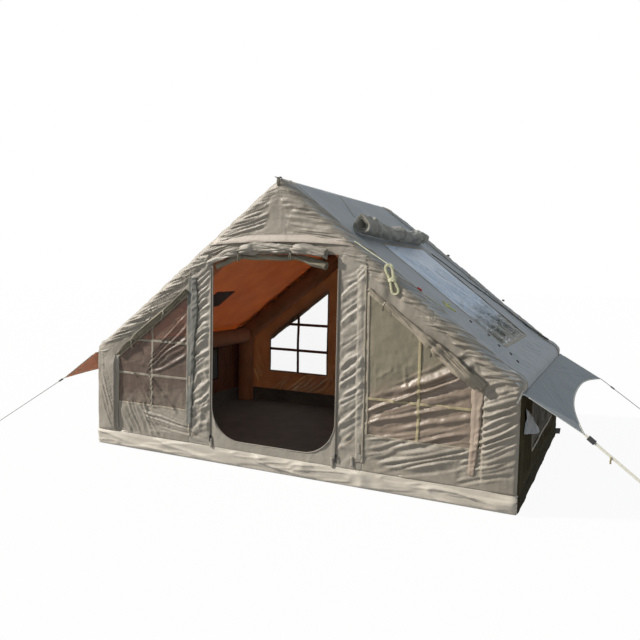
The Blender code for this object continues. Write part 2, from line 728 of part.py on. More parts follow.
def zips():
    """Two straight zips beside the doorway, each with a slider that runs on it and a hanging pull tab."""
    low = PANEL_FOOT + ZIP_FOOT
    high = DOOR_TOP - ZIP_HEAD
    track_face = FRONT_FACE - SEAM_GAP - ZIP_THICKNESS
    slider_face = track_face - SEAM_GAP - SLIDER_DEPTH
    pull_face = slider_face - PULL_CLEARANCE - PULL_THICKNESS
    slider_z = low + SLIDER_START
    for name, x in (("left", DOOR_LEFT - ZIP_WIDTH * 0.6), ("right", DOOR_RIGHT + ZIP_WIDTH * 0.6)):
        track = upright_box(x, ZIP_WIDTH, low, high)
        plate(f"{name}_zip_track", [track], front_place(track_face), ZIP_THICKNESS, BLACK, 0.5)
        body = upright_box(x, SLIDER_WIDTH, slider_z - SLIDER_LENGTH / 2, slider_z + SLIDER_LENGTH / 2)
        body = rounded(body, SLIDER_WIDTH * 0.35)
        plate(f"{name}_zip_slider", [body], front_place(slider_face), SLIDER_DEPTH, STEEL, 0.35)
        hinge = (x, pull_face + PULL_THICKNESS / 2, slider_z)
        tab = upright_box(x, PULL_WIDTH, slider_z + PULL_EAR - PULL_LENGTH, slider_z + PULL_EAR)
        tab = rounded(tab, PULL_WIDTH * 0.12)
        plate(f"{name}_zip_pull", [tab], front_place(pull_face), PULL_THICKNESS, STEEL, 0.35, hinge)


def upright_box(middle_x, width, low, high):
    half = width / 2
    return [(middle_x - half, low), (middle_x + half, low), (middle_x + half, high), (middle_x - half, high)]


def awning_edge(y):
    """How far out the awning reaches at y: a concave arc between its two tips."""
    share = min(abs(y) / AWNING_TIP_Y, 1.0)
    return AWNING_MIDDLE_X + (AWNING_TIP_X - AWNING_MIDDLE_X) * share ** AWNING_ARC_POWER


def awnings():
    """Sheets sewn on at the eave, held flat by the ropes at their tips and drooping a little between them."""
    along, outward = 16, 4
    start_x, start_z = eave_arc(1, -SEAM_GAP)[1]
    for side, name, tip_height in ((-1, "left_awning", LEFT_TIP_HEIGHT), (1, "right_awning", RIGHT_TIP_HEIGHT)):
        fall = (start_z - tip_height) / (AWNING_TIP_X - start_x)

        def place(u, v, w):
            y = AWNING_TIP_Y * u
            x = start_x + (awning_edge(y) - start_x) * v
            droop = AWNING_DROOP * (1 - u * u) * v * v
            return (side * x, y, start_z + (CLOTH - w) - fall * (x - start_x) - droop)

        flat = [(2 * i / along - 1, j / outward) for j in range(outward + 1) for i in range(along + 1)]
        row = along + 1
        faces = [
            [row * j + i, row * j + i + 1, row * j + row + i + 1, row * j + row + i]
            for j in range(outward)
            for i in range(along)
        ]
        sheet_solid(name, flat, faces, place, CLOTH, SHADE_BLUE)


def cord(name, points, diameter, colour, resolution=2, width=None):
    """A rope along its points; width, where given, makes it a flat strap."""
    curve = bpy.data.curves.new(name, "CURVE")
    curve.dimensions = "3D"
    curve.bevel_depth = diameter / 2
    curve.bevel_resolution = resolution
    curve.use_fill_caps = True
    if width:
        curve.extrude = (width - diameter) / 2
    spline = curve.splines.new("POLY")
    spline.points.add(len(points) - 1)
    for point, co in zip(spline.points, points):
        point.co = (*co, 1.0)
    return place_object(name, curve, colour, 0.8)


def straight(start, end, count):
    return [start.lerp(end, k / (count - 1)) for k in range(count)]


def guy_ends(side, rear):
    """Where a guy leaves its awning tip, and where it is hitched to its peg."""
    tip_height = RIGHT_TIP_HEIGHT if side > 0 else LEFT_TIP_HEIGHT
    peg_x = RIGHT_PEG_X if side > 0 else LEFT_PEG_X
    tip = Vector((side * AWNING_TIP_X, rear * AWNING_TIP_Y, tip_height + CLOTH / 2))
    peg = Vector((side * peg_x, rear * PEG_Y, HITCH_HEIGHT))
    way = (peg - tip).normalized()
    return tip + way * (CLOTH / 2 * abs(way.z) + SEAM_GAP), peg, way


def eight_corners(width, depth, cut):
    a, b = width / 2, depth / 2
    return [
        (a, -b + cut), (a, b - cut), (a - cut, b), (-a + cut, b),
        (-a, b - cut), (-a, -b + cut), (-a + cut, -b), (a - cut, -b),
    ]


def drilled_block(name, centre, way, length, width, depth, bore, colour, upright=False):
    """A block on the rope: an eight-cornered outline run along the rope, with an eight-cornered bore."""
    side_way = way.cross(Vector((0.0, 0.0, 1.0))).normalized()
    up = side_way.cross(way).normalized()
    if upright:
        side_way, up = up, -side_way
    outer = eight_corners(width, depth, min(width, depth) * 0.28)
    inner = eight_corners(*bore, min(bore) * 0.25)
    points, faces = [], []
    for outline in (outer, inner):
        for step in (-0.5, 0.5):
            points += [centre + way * length * step + side_way * u + up * v for u, v in outline]
    faces += bands(0, 8, 8)
    faces += [face[::-1] for face in bands(16, 24, 8)]
    faces += [face[::-1] for face in bands(0, 16, 8)]
    faces += bands(8, 24, 8)
    return solid(name, points, faces, colour, 0.45, origin=centre)


def guys():
    """Four guys from the awning tips to their pegs, each with its runner or buckle."""
    corners = ((-1, -1, "front_left"), (1, -1, "front_right"), (-1, 1, "rear_left"), (1, 1, "rear_right"))
    for side, rear, name in corners:
        start, end, way = guy_ends(side, rear)
        strap = side > 0 and rear < 0
        thick = STRAP_THICKNESS if strap else ROPE_DIAMETER
        half_width = (STRAP_WIDTH if strap else thick) / 2
        across = way.cross(Vector((0.0, 1.0, 0.0))).normalized()
        outward = Vector((side * cos(PEG_LEAN), 0.0, -sin(PEG_LEAN)))
        room = (PEG_DIAMETER / 2 + SEAM_GAP + half_width * abs(across.dot(outward))) / abs(way.dot(outward))
        points = straight(start, end - way * room, 24)
        colour, width = (STRAP_GREY, STRAP_WIDTH) if strap else (ROPE_CREAM, None)
        cord(f"{name}_guy_rope", points, thick, colour, width=width)
        at = FRONT_RUNNER_START if rear < 0 else REAR_RUNNER_START
        if strap:
            size = (BUCKLE_LENGTH, BUCKLE_WIDTH, BUCKLE_DEPTH)
            bore = (STRAP_WIDTH + 2 * BORE_CLEARANCE, STRAP_THICKNESS + 2 * BORE_CLEARANCE)
        else:
            size = (RUNNER_LENGTH, RUNNER_WIDTH, RUNNER_DEPTH)
            bore = (ROPE_DIAMETER + 2 * BORE_CLEARANCE, ROPE_DIAMETER + 2 * BORE_CLEARANCE)
        drilled_block(f"{name}_runner", start + way * at, way, *size, bore, BLACK, upright=strap)
        peg(f"{name}_peg", end, side)


def peg(name, hitch, side):
    """A steel nail peg as it stands over the ground: a leaning shank with a flat head above the guy's loop."""
    lean = Vector((side * sin(PEG_LEAN), 0.0, cos(PEG_LEAN)))
    outward = Vector((side * cos(PEG_LEAN), 0.0, -sin(PEG_LEAN)))
    ahead = Vector((0.0, 1.0, 0.0))
    shank, head = PEG_DIAMETER / 2, PEG_HEAD_DIAMETER / 2
    foot_lift = shank * sin(PEG_LEAN) + SEAM_GAP
    foot = hitch - lean * ((hitch.z - foot_lift) / lean.z)
    top = hitch + lean * (PEG_HEIGHT - HITCH_HEIGHT)
    sides = 12
    points, faces = [], []
    under_head = top - lean * PEG_HEAD_THICKNESS
    stations = ((foot, shank), (under_head, shank), (under_head, head), (top, head))
    for point, radius in stations:
        points += ring(point, outward, ahead, lambda _: radius, sides)
    for i in range(len(stations) - 1):
        faces += bands(sides * i, sides * (i + 1), sides)
    faces += [list(range(sides))[::-1], [sides * (len(stations) - 1) + k for k in range(sides)]]
    solid(name, points, faces, STEEL, 0.35, metallic=1.0)


def hank_points():
    """Loops drawn in at the waist, spiralling out and in by one rope's pitch a turn, one layer on the next."""
    pitch = HANK_PITCH
    turns_per_layer = HANK_TURNS // HANK_LAYERS
    points = []
    for k in range(HANK_TURNS * HANK_LOOP_POINTS + 1):
        turn = k / HANK_LOOP_POINTS
        layer = min(int(turn / turns_per_layer), HANK_LAYERS - 1)
        share = turn - layer * turns_per_layer
        spread = share if layer % 2 == 0 else turns_per_layer - share
        height = 0.0
        for step in range(1, HANK_LAYERS):
            height += min(max((turn - step * turns_per_layer + 0.25) / 0.5, 0.0), 1.0)
        angle = 2 * pi * turn
        grow = pitch * spread
        waist = HANK_WAIST + grow
        shoulder = (HANK_SHOULDER + grow) / sin(pi / 4)
        main, third = (shoulder + waist) / 2, (shoulder - waist) / 2
        along = (HANK_LENGTH / 2 - pitch * turns_per_layer + grow) * cos(angle)
        across = main * sin(angle) + third * sin(3 * angle)
        points.append(Vector((across, along, height * pitch)))
    return points, pitch


def least_gap(points, radius):
    """Least distance between the surfaces of stretches more than a third of a loop apart."""
    skip = HANK_LOOP_POINTS // 3
    least = 1.0
    for i in range(len(points) - 1):
        for j in range(i + skip, len(points) - 1):
            for s in (0.0, 0.25, 0.5, 0.75):
                p = points[i].lerp(points[i + 1], s)
                a, b = points[j], points[j + 1]
                t = min(max((p - a).dot(b - a) / (b - a).length_squared, 0.0), 1.0)
                least = min(least, (p - a.lerp(b, t)).length - 2 * radius)
    return least


def spare_guy():
    """The spare guy: a hank that hangs at the front rafter, and its two free stretches along the roof's edge."""
    flat, pitch = hank_points()
    print("least gap of the hank to itself, mm:", round(least_gap(flat, ROPE_DIAMETER / 2) * 1000, 3))
    down = Vector((sin(HANK_LEAN), 0.0, -cos(HANK_LEAN)))
    right = Vector((cos(HANK_LEAN), 0.0, sin(HANK_LEAN)))
    back = FRONT_FACE - SEAM_GAP - ROPE_DIAMETER / 2
    centre = Vector((HANK_X, back, rafter_height(HANK_X) - HANK_BELOW_ROOF))
    points = [centre + right * p.x - down * p.y + Vector((0.0, -p.z, 0.0)) for p in flat]
    cord("spare_guy_hank", points, ROPE_DIAMETER, ROPE_CREAM, 1)

    place, _, _ = roof_place(1)
    lift = ROPE_DIAMETER / 2 + SEAM_GAP
    top = centre - down * (HANK_LENGTH / 2 + lift) + Vector((0.0, -HANK_LAYERS * pitch / 2, 0.0))
    anchor = Vector(place(UPPER_LINE_Y, UPPER_LINE_SLOPE, -lift))
    cord("spare_guy_upper_line", straight(anchor, top, 20), ROPE_DIAMETER, ROPE_CREAM)

    lower = [Vector(place(y, slope, -lift)) for y, slope in LOWER_LINE]
    cord("spare_guy_lower_line", smooth_line(lower, 28), ROPE_DIAMETER, ROPE_CREAM)


def smooth_line(knots, count):
    """Points of a smooth curve through the knots: Catmull-Rom, evenly shared between them."""
    ends = [knots[0] * 2 - knots[1]] + knots + [knots[-1] * 2 - knots[-2]]
    points = []
    for k in range(count):
        at = (len(knots) - 1) * k / (count - 1)
        i = min(int(at), len(knots) - 2)
        t = at - i
        a, b, c, d = ends[i : i + 4]
        square, cube = 2 * a - 5 * b + 4 * c - d, 3 * b - a - 3 * c + d
        points.append(0.5 * (2 * b + (c - a) * t + square * t ** 2 + cube * t ** 3))
    return points


def turned(profile, centre, sides=24):
    """Rings about a line along -Y from centre: each profile pair is a distance along the line and a radius."""
    rings = []
    for along, radius in profile:
        for k in range(sides):
            angle = 2 * pi * k / sides
            rings.append((centre[0] + radius * cos(angle), centre[1] - along, centre[2] + radius * sin(angle)))
    faces = []
    for i in range(len(profile) - 1):
        faces += bands(sides * i, sides * (i + 1), sides)
    return rings, faces


def valve(leg_x, arch_y):
    """The inflation valve on the rear right leg, facing the doorway, with its flap cap."""
    centre = (leg_x, arch_y - TUBE_RADIUS - SEAM_GAP, VALVE_HEIGHT)
    sides = 24
    profile = [
        (0.0, VALVE_BORE), (0.0, VALVE_RADIUS), (VALVE_FLANGE, VALVE_RADIUS), (VALVE_FLANGE, VALVE_NECK_RADIUS),
        (VALVE_DEPTH, VALVE_NECK_RADIUS), (VALVE_DEPTH, VALVE_BORE),
    ]
    points, faces = turned(profile, centre, sides)
    faces += bands(sides * (len(profile) - 1), 0, sides)
    solid("valve_body", points, faces, BLACK, 0.5)

    start = VALVE_DEPTH + SEAM_GAP
    points, faces = turned([(start, VALVE_CAP_RADIUS), (start + VALVE_CAP_DEPTH, VALVE_CAP_RADIUS)], centre, sides)
    faces += [list(range(sides))[::-1], [sides + k for k in range(sides)]]
    hinge = (centre[0], centre[1] - start, centre[2] - VALVE_CAP_RADIUS - VALVE_HINGE_OUT)
    solid("valve_cap", points, faces, BLACK, 0.5, origin=hinge)


clear_scene()
groundsheet()
front_gable()
rear_gable()
side_walls()
roofs()
windows()
leg_line, arch_line = air_frame()
valve(leg_line, arch_line)
door_rolls()
window_rolls()
skylight_roll()
rain_flap()
zips()
awnings()
guys()
spare_guy()
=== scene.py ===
"""Looks of the inflatable ridge tent: creased cloth, soft clear windows, rolled covers, tapes and ropes.

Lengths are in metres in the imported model's frame: +Z up, the doorway faces -Y, the ridge runs along Y.
"""

from math import atan2, cos, pi, radians, sin, sqrt, tan

import bpy
import numpy as np
from mathutils import Matrix, Vector


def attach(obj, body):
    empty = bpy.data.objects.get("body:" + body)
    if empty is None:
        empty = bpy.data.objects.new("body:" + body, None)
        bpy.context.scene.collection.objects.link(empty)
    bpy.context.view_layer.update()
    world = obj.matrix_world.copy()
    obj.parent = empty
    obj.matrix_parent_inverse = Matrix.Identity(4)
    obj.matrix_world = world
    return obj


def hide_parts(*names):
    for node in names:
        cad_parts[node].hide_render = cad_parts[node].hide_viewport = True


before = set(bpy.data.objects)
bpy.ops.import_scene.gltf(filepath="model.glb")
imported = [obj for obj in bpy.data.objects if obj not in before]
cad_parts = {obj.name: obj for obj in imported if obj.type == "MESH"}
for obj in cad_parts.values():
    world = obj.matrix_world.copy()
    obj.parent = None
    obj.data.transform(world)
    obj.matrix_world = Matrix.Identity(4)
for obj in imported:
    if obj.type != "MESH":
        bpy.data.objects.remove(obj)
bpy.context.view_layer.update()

# Sizes of the tent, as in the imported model
WIDTH, DEPTH = 3.00, 2.00
EAVE, RIDGE = 0.70, 1.86
EAVE_RADIUS = 0.085
TUB = 0.11
SLOPE = atan2(RIDGE - EAVE, WIDTH / 2)
EAVE_X = WIDTH / 2 - EAVE_RADIUS
EAVE_Z = RIDGE - EAVE_X * tan(SLOPE) - EAVE_RADIUS / cos(SLOPE)
LIP_Z = EAVE_Z - 0.004
DOOR_TOP = 1.392
DOOR_LEFT, DOOR_RIGHT = -0.485, 0.415
DOOR_SILL, DOOR_CORNER = 0.165, 0.22
STRIP_LEFT, STRIP_RIGHT = -0.665, 0.595
TUBE_RADIUS = 0.075
TUBE_DEPTH = 0.082
ROPE = 0.005
STRAP_WIDTH = 0.015
GAP = 0.0003

# A roof sheet unrolled: where its flat part ends below the ridge, and the length of its round at the eave
ROOF_FLAT = EAVE_X / cos(SLOPE) + EAVE_RADIUS * tan(SLOPE)
ROOF_ARC = EAVE_RADIUS * (pi / 2 - SLOPE)

# Windows. In a gable: inner and outer edge, sill, and how deep the slanted head lies under the roof line.
# In a side wall: front, rear, low, high. In the right roof: front, rear, and both edges down the slope.
FRONT_WINDOW = {-1: (0.685, 1.29, 0.33, 0.165), 1: (0.615, 1.29, 0.33, 0.165)}
REAR_WINDOW = (0.57, 1.19, 0.30, 0.26)
SIDE_WINDOW = (-0.55, 0.55, 0.25, 0.56)
SKYLIGHT = (-0.40, 0.52, 0.60, 1.645)

# Thickness of the dressed cloth and film, how far a film reaches over the window's edge and lies behind the
# cloth, and how far the cloth's edges are rounded over the air frame
SHELL, FILM = 0.0016, 0.0008
FILM_LAP, FILM_BEHIND = 0.004, 0.0018
EDGE_ROUND = 0.035
EDGE_START = EDGE_ROUND * (1 - cos(pi / 4))

# Where the awning is sewn on, as a share of the turn of the eave
AWNING_SEAM = 0.12

# Camera

CAMERA_PLACE = Vector((1.9743, -4.5204, 1.2990))
CAMERA_TURN, CAMERA_TILT, CAMERA_ROLL = 0.4443, -0.0771, 0.0214
FOCAL_PIXELS, PICTURE_PIXELS = 645.80, 640.0


def camera():
    """The photograph's view: turned about the upright, tilted down a little and rolled a little."""
    turn, tilt, roll = CAMERA_TURN, CAMERA_TILT, CAMERA_ROLL
    ahead = Vector((-sin(turn) * cos(tilt), cos(turn) * cos(tilt), sin(tilt)))
    level = Vector((cos(turn), sin(turn), 0.0))
    over = level.cross(ahead)
    across = level * cos(roll) + over * sin(roll)
    up = over * cos(roll) - level * sin(roll)
    data = bpy.data.cameras.new("camera")
    data.sensor_width = 36.0
    data.lens = 36.0 * FOCAL_PIXELS / PICTURE_PIXELS
    made = bpy.data.objects.new("camera", data)
    bpy.context.scene.collection.objects.link(made)
    turned = Matrix((across, up, -ahead)).transposed()
    made.matrix_world = Matrix.Translation(CAMERA_PLACE) @ turned.to_4x4()
    bpy.context.scene.camera = made


# Number fields


NOISE_PERIOD = 67


def noise(x, y, seed):
    """Smooth random field from -1 to 1: random values at whole numbers, blended by a smooth step."""
    table = np.random.default_rng(seed).uniform(-1.0, 1.0, (NOISE_PERIOD, NOISE_PERIOD))
    xi, yi = np.floor(x).astype(int), np.floor(y).astype(int)
    fx, fy = x - xi, y - yi
    sx = fx * fx * fx * (fx * (fx * 6 - 15) + 10)
    sy = fy * fy * fy * (fy * (fy * 6 - 15) + 10)

    def at(i, j):
        return table[(xi + i) % NOISE_PERIOD, (yi + j) % NOISE_PERIOD]

    low = at(0, 0) * (1 - sx) + at(1, 0) * sx
    high = at(0, 1) * (1 - sx) + at(1, 1) * sx
    return low * (1 - sy) + high * sy


def bell(off, reach, power=2):
    """1 where off is 0, falling to 0 beyond the reach."""
    return np.exp(-((off / reach) ** power))


def smooth(x, low, high):
    """0 below low, 1 above high, and a smooth step between them."""
    t = np.clip((x - low) / (high - low), 0.0, 1.0)
    return t * t * (3 - 2 * t)


def ridge(x, y, seed):
    """Crests where a random field crosses zero: 1 on the crest, 0 away from it, rounded at the top."""
    return np.clip(1.15 - 2.9 * np.hypot(noise(x, y, seed), 0.05), 0.0, 1.0) ** 1.3


def creases(x, z, fans):
    """Sum of fans of folds. In each, a place's share along the folds and across them is found by Newton's
    method for the four-cornered patch between the first fold and the last. Each fold is a bell-shaped
    crest, steeper on one side, that wanders a little, leans, and tapers at its own two ends."""
    total = np.zeros_like(x)
    bent_x = x + 0.004 * noise(x * 11, z * 11, 301)
    bent_z = z + 0.004 * noise(x * 11 + 9, z * 11, 302)
    for (ax, az, bx, bz), (cx, cz, dx, dz), count, height, seed in fans:
        low_x, high_x = min(ax, bx, cx, dx), max(ax, bx, cx, dx)
        low_z, high_z = min(az, bz, cz, dz), max(az, bz, cz, dz)
        near = (bent_x > low_x) & (bent_x < high_x) & (bent_z > low_z) & (bent_z < high_z)
        if not near.any():
            continue
        px, pz = bent_x[near], bent_z[near]
        t, w = np.full_like(px, 0.5), np.full_like(px, 0.5)
        for _ in range(7):
            fx = (1 - w) * ((1 - t) * ax + t * bx) + w * ((1 - t) * cx + t * dx) - px
            fz = (1 - w) * ((1 - t) * az + t * bz) + w * ((1 - t) * cz + t * dz) - pz
            along = (1 - w) * (bx - ax) + w * (dx - cx), (1 - w) * (bz - az) + w * (dz - cz)
            over = (1 - t) * (cx - ax) + t * (dx - bx), (1 - t) * (cz - az) + t * (dz - bz)
            size = along[0] * over[1] - along[1] * over[0]
            size = np.where(np.abs(size) < 1e-9, 1e-9, size)
            t = np.clip(t - (fx * over[1] - fz * over[0]) / size, -2.0, 3.0)
            w = np.clip(w - (along[0] * fz - along[1] * fx) / size, -2.0, 3.0)
        inside = (t > 0) & (t < 1) & (w > 0) & (w < 1)
        place = w * count + 0.45 * noise(t * 2.0 + seed, w * count * 0.6, seed)
        pick = np.random.default_rng(seed)
        lift = np.zeros_like(px)
        for k in range(-1, count + 1):
            middle, lean = k + 0.5 + pick.uniform(-0.30, 0.30), pick.uniform(-0.45, 0.45)
            begin, stop = pick.uniform(-0.30, 0.20), pick.uniform(0.75, 1.30)
            steep, tall = pick.uniform(0.26, 0.42), pick.uniform(0.45, 1.15)
            off = place - middle - lean * (t - 0.5)
            crest = bell(off, np.where(off < 0, 0.66 - steep, steep))
            lift += tall * crest * smooth(t, begin, begin + 0.25) * (1 - smooth(t, stop - 0.30, stop))
        lift += 0.16 * ridge(t * 3.0, place * 2.6, seed + 400)
        fade = smooth(t, 0.0, 0.10) * (1 - smooth(t, 0.86, 1.0))
        fade = fade * smooth(w, 0.0, 0.08) * (1 - smooth(w, 0.92, 1.0))
        total[near] += np.where(inside, height * fade * (lift - 0.35), 0.0)
    return total


def rounding(depth):
    """How far the cloth stands back at that depth from a rounded edge: a quarter circle."""
    inside = np.clip(EDGE_ROUND - depth, 0.0, EDGE_ROUND)
    return EDGE_ROUND - np.sqrt(EDGE_ROUND ** 2 - inside ** 2)


def rafter(x, depth=0.0):
    """Height of the roof line at x, for a line that lies depth square below the outer one."""
    return RIDGE - depth / cos(SLOPE) - np.abs(x) * tan(SLOPE)


def outline_top(x, depth):
    """Top of a gable at x, with its eave rounded, depth inside the outer outline."""
    reach = EAVE_RADIUS - depth
    turn_x = EAVE_X + reach * sin(SLOPE)
    arc = EAVE_Z + np.sqrt(np.clip(reach ** 2 - (np.abs(x) - EAVE_X) ** 2, 0.0, None))
    return np.where(np.abs(x) < turn_x, rafter(x, depth), arc)


def outline_depth(x, z):
    """Distance of a gable's point inside the outer outline of roof, eave and side."""
    ax = np.abs(x)
    roof = (RIDGE - ax * tan(SLOPE) - z) * cos(SLOPE)
    side = WIDTH / 2 - ax
    rx, rz = ax - EAVE_X, z - EAVE_Z
    arc = EAVE_RADIUS - np.hypot(rx, rz)
    angle = np.arctan2(rz, rx)
    in_arc = (angle > 0) & (angle < pi / 2 - SLOPE)
    return np.where(in_arc, arc, np.minimum(roof, side))


# Meshes


def joined(*parts):
    """Points or faces from their separate numbers."""
    return np.stack(np.broadcast_arrays(*parts), axis=-1)


def unit(vectors):
    """The same directions, each of length 1."""
    return vectors / np.linalg.norm(vectors, axis=-1, keepdims=True)


def lengths(path):
    """Length along a path up to each of its points."""
    return np.concatenate([[0.0], np.cumsum(np.linalg.norm(np.diff(path, axis=0), axis=1))])


def mesh_object(name, verts, faces, uvs=None, kinds=None, materials=(), smoothed=True):
    """A mesh from whole arrays. faces is a list of arrays, one for each number of corners."""
    mesh = bpy.data.meshes.new(name)
    verts = np.asarray(verts, dtype=np.float32)
    faces = [np.asarray(f, dtype=np.int32) for f in faces if len(f)]
    sizes = np.concatenate([np.full(len(f), f.shape[1], dtype=np.int32) for f in faces])
    loops = np.concatenate([f.ravel() for f in faces])
    mesh.vertices.add(len(verts))
    mesh.vertices.foreach_set("co", verts.ravel())
    mesh.loops.add(len(loops))
    mesh.loops.foreach_set("vertex_index", loops)
    mesh.polygons.add(len(sizes))
    starts = np.concatenate([[0], np.cumsum(sizes)[:-1]]).astype(np.int32)
    mesh.polygons.foreach_set("loop_start", starts)
    if uvs is not None:
        layer = mesh.uv_layers.new(name="cut")
        layer.data.foreach_set("uv", np.asarray(uvs, dtype=np.float32)[loops].ravel())
    if kinds is not None:
        mesh.polygons.foreach_set("material_index", np.asarray(kinds, dtype=np.int32))
    mesh.polygons.foreach_set("use_smooth", np.full(len(sizes), smoothed))
    mesh.update(calc_edges=True)
    mesh.validate()
    for made in materials:
        mesh.materials.append(made)
    obj = bpy.data.objects.new(name, mesh)
    bpy.context.scene.collection.objects.link(obj)
    return obj


def on_tent(obj, node=None):
    """The piece fixed to the tent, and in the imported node's place if one is named."""
    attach(obj, "tent")
    if node:
        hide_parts(node)
    return obj


def patch(points, uv=None, keep=None, turned=False):
    """A grid of points, its place on the flat cloth, and its cells that are cloth. Turned swaps sides."""
    if turned:
        points, uv, keep = (None if part is None else part[:, ::-1] for part in (points, uv, keep))
    if uv is None:
        across, down = (np.cumsum(np.linalg.norm(np.diff(points, axis=k), axis=2), axis=k) for k in (1, 0))
        uv = joined(np.pad(across, ((0, 0), (1, 0))), np.pad(down, ((1, 0), (0, 0))))
    return points, uv, keep


WELD = 2e-5


def cloth(name, patches, outside, inside, thick=SHELL):
    """Cloth as a closed shell: the grids are its outer side, the inner side lies thick behind them along
    the surface's own normals, and every free edge gets a rim. Points of neighbouring grids that meet are
    one point."""
    points, flats, quads = [], [], []
    count = 0
    for grid, uv, keep in patches:
        index = np.arange(grid[..., 0].size).reshape(grid.shape[:2]) + count
        cells = joined(index[:-1, :-1], index[:-1, 1:], index[1:, 1:], index[1:, :-1])
        quads.append(cells.reshape(-1, 4) if keep is None else cells[keep])
        points.append(grid.reshape(-1, 3))
        flats.append(uv.reshape(-1, 2))
        count += index.size
    points, flats, quads = np.concatenate(points), np.concatenate(flats), np.concatenate(quads)
    used = np.unique(quads)
    cell = np.round(points[used] / WELD).astype(np.int64)
    _, first, same = np.unique(cell, axis=0, return_index=True, return_inverse=True)
    place = np.full(len(points), -1)
    place[used] = same.ravel()
    points, flats, quads = points[used][first], flats[used][first], place[quads]
    whole = (quads != np.roll(quads, -1, axis=1)).all(axis=1)
    whole &= (quads[:, 0] != quads[:, 2]) & (quads[:, 1] != quads[:, 3])
    quads = quads[whole]

    face_out = np.cross(points[quads[:, 2]] - points[quads[:, 0]], points[quads[:, 3]] - points[quads[:, 1]])
    out = np.zeros_like(points)
    for i in range(4):
        np.add.at(out, quads[:, i], face_out)
    out /= np.linalg.norm(out, axis=1, keepdims=True) + 1e-12
    total = len(points)
    both = np.concatenate([points, points - out * thick])

    edges = np.concatenate([quads[:, [i, (i + 1) % 4]] for i in range(4)])
    _, where, counts = np.unique(np.sort(edges, axis=1), axis=0, return_inverse=True, return_counts=True)
    begin, end = edges[counts[where.ravel()] == 1].T
    rim = joined(end, begin, begin + total, end + total)
    faces = np.concatenate([quads, quads[:, ::-1] + total, rim])
    kinds = np.repeat([0, 1, 0], [len(quads), len(quads), len(rim)])
    uv = np.concatenate([flats, flats])
    return on_tent(mesh_object(name, both, [faces], uv, kinds, (outside, inside)))


def frames_along(path):
    """Unit ways along a path, and two ways square to it that turn as little as can be."""
    path = np.asarray(path, dtype=float)
    ways = unit(np.gradient(path, axis=0))
    start = np.array([0.0, 1.0, 0.0]) if abs(ways[0, 1]) < 0.9 else np.array([0.0, 0.0, 1.0])
    across = []
    for way in ways:
        start = unit(start - way * start.dot(way))
        across.append(start)
    across = np.array(across)
    return path, ways, across, np.cross(ways, across)


def spokes(across, up, turn):
    """Ways out from a path, at each of its points for each turn about it."""
    return across[:, None] * np.cos(turn)[:, None] + up[:, None] * np.sin(turn)[:, None]


def capped(name, rings, middles, along, around, material):
    """A closed skin over rings of points, drawn together at each end in a middle point."""
    rows, sides = rings.shape[:2]
    index = np.arange(rows * sides).reshape(rows, sides)
    after = np.roll(index, -1, axis=1)
    quads = joined(index[:-1], after[:-1], after[1:], index[1:]).reshape(-1, 4)
    low, high = joined(after[0], index[0], rows * sides), joined(index[-1], after[-1], rows * sides + 1)
    verts = np.concatenate([rings.reshape(-1, 3), middles])
    uv = np.concatenate([joined(along[:, None], around).reshape(-1, 2), [[0.0, 0.0], [along[-1], 0.0]]])
    faces = [quads, np.concatenate([low, high])]
    return on_tent(mesh_object(name, verts, faces, uv, None, (material,)))


def tube(name, path, radius, material, sides=24):
    """A round body along a path. radius is one number, one for each point, or a grid of point by side."""
    path, _, across, up = frames_along(path)
    turn = np.linspace(0.0, 2 * pi, sides, endpoint=False)
    if np.ndim(radius) == 1:
        radius = radius[:, None]
    radius = np.broadcast_to(radius, (len(path), sides))
    rings = path[:, None] + radius[..., None] * spokes(across, up, turn)
    around = turn * float(np.mean(radius))
    return capped(name, rings, path[[0, -1]], lengths(path), around, material)


def ribbon(name, path, normals, width, thick, material, crown=0.0):
    """A flat strip along a path, on a surface with those normals: a closed bar with a softly domed top."""
    path = np.asarray(path, dtype=float)
    ways = unit(np.gradient(path, axis=0))
    normals = np.broadcast_to(np.asarray(normals, dtype=float), path.shape)
    normals = unit(normals - ways * (normals * ways).sum(axis=1, keepdims=True))
    aside = np.cross(ways, normals)
    width = np.broadcast_to(np.asarray(width, dtype=float), (len(path),))[:, None]
    across = np.array([-0.5, -0.48, -0.25, 0.0, 0.25, 0.48, 0.5, 0.5, 0.0, -0.5])
    height = np.array([0.3, 0.85, 1.0, 1.0, 1.0, 0.85, 0.3, 0.0, 0.0, 0.0])
    lift = height * thick + crown * np.where(height > 0, 1 - (2 * across) ** 2, 0.0)
    rings = path[:, None] + aside[:, None] * (across * width)[..., None] + normals[:, None] * lift[:, None]
    index = np.arange(rings[..., 0].size).reshape(rings.shape[:2])
    after = np.roll(index, -1, axis=1)
    quads = joined(index[:-1], index[1:], after[1:], after[:-1]).reshape(-1, 4)
    uv = joined(lengths(path)[:, None], across * width).reshape(-1, 2)
    ends = np.stack([index[0], index[-1][::-1]])
    return on_tent(mesh_object(name, rings.reshape(-1, 3), [quads, ends], uv, None, (material,)))


# Finishes


def ink(red, green, blue):
    """A colour as seen, 0 to 255, turned into the light values that a shader takes."""
    seen = np.array([red, green, blue]) / 255.0
    lin = np.where(seen <= 0.04045, seen / 12.92, ((seen + 0.055) / 1.055) ** 2.4)
    return (*[float(v) for v in lin], 1.0)


def fill(tree, node, settings):
    """Set a node up. Names with a capital are inputs and at_ with a number is an input too: each takes a
    value or another node's output. The other names are the node's own settings."""
    for key, value in settings.items():
        if not (key[0].isupper() or key.startswith("at_")):
            setattr(node, key, value)
            continue
        socket = node.inputs[int(key[3:]) if key.startswith("at_") else key.replace("_", " ")]
        if isinstance(value, bpy.types.NodeSocket):
            tree.links.new(value, socket)
        else:
            socket.default_value = value
    return node


def add(tree, kind, output, **settings):
    """Add a node of that kind, set it up and give back one of its outputs."""
    return fill(tree, tree.nodes.new("ShaderNode" + kind), settings).outputs[output]


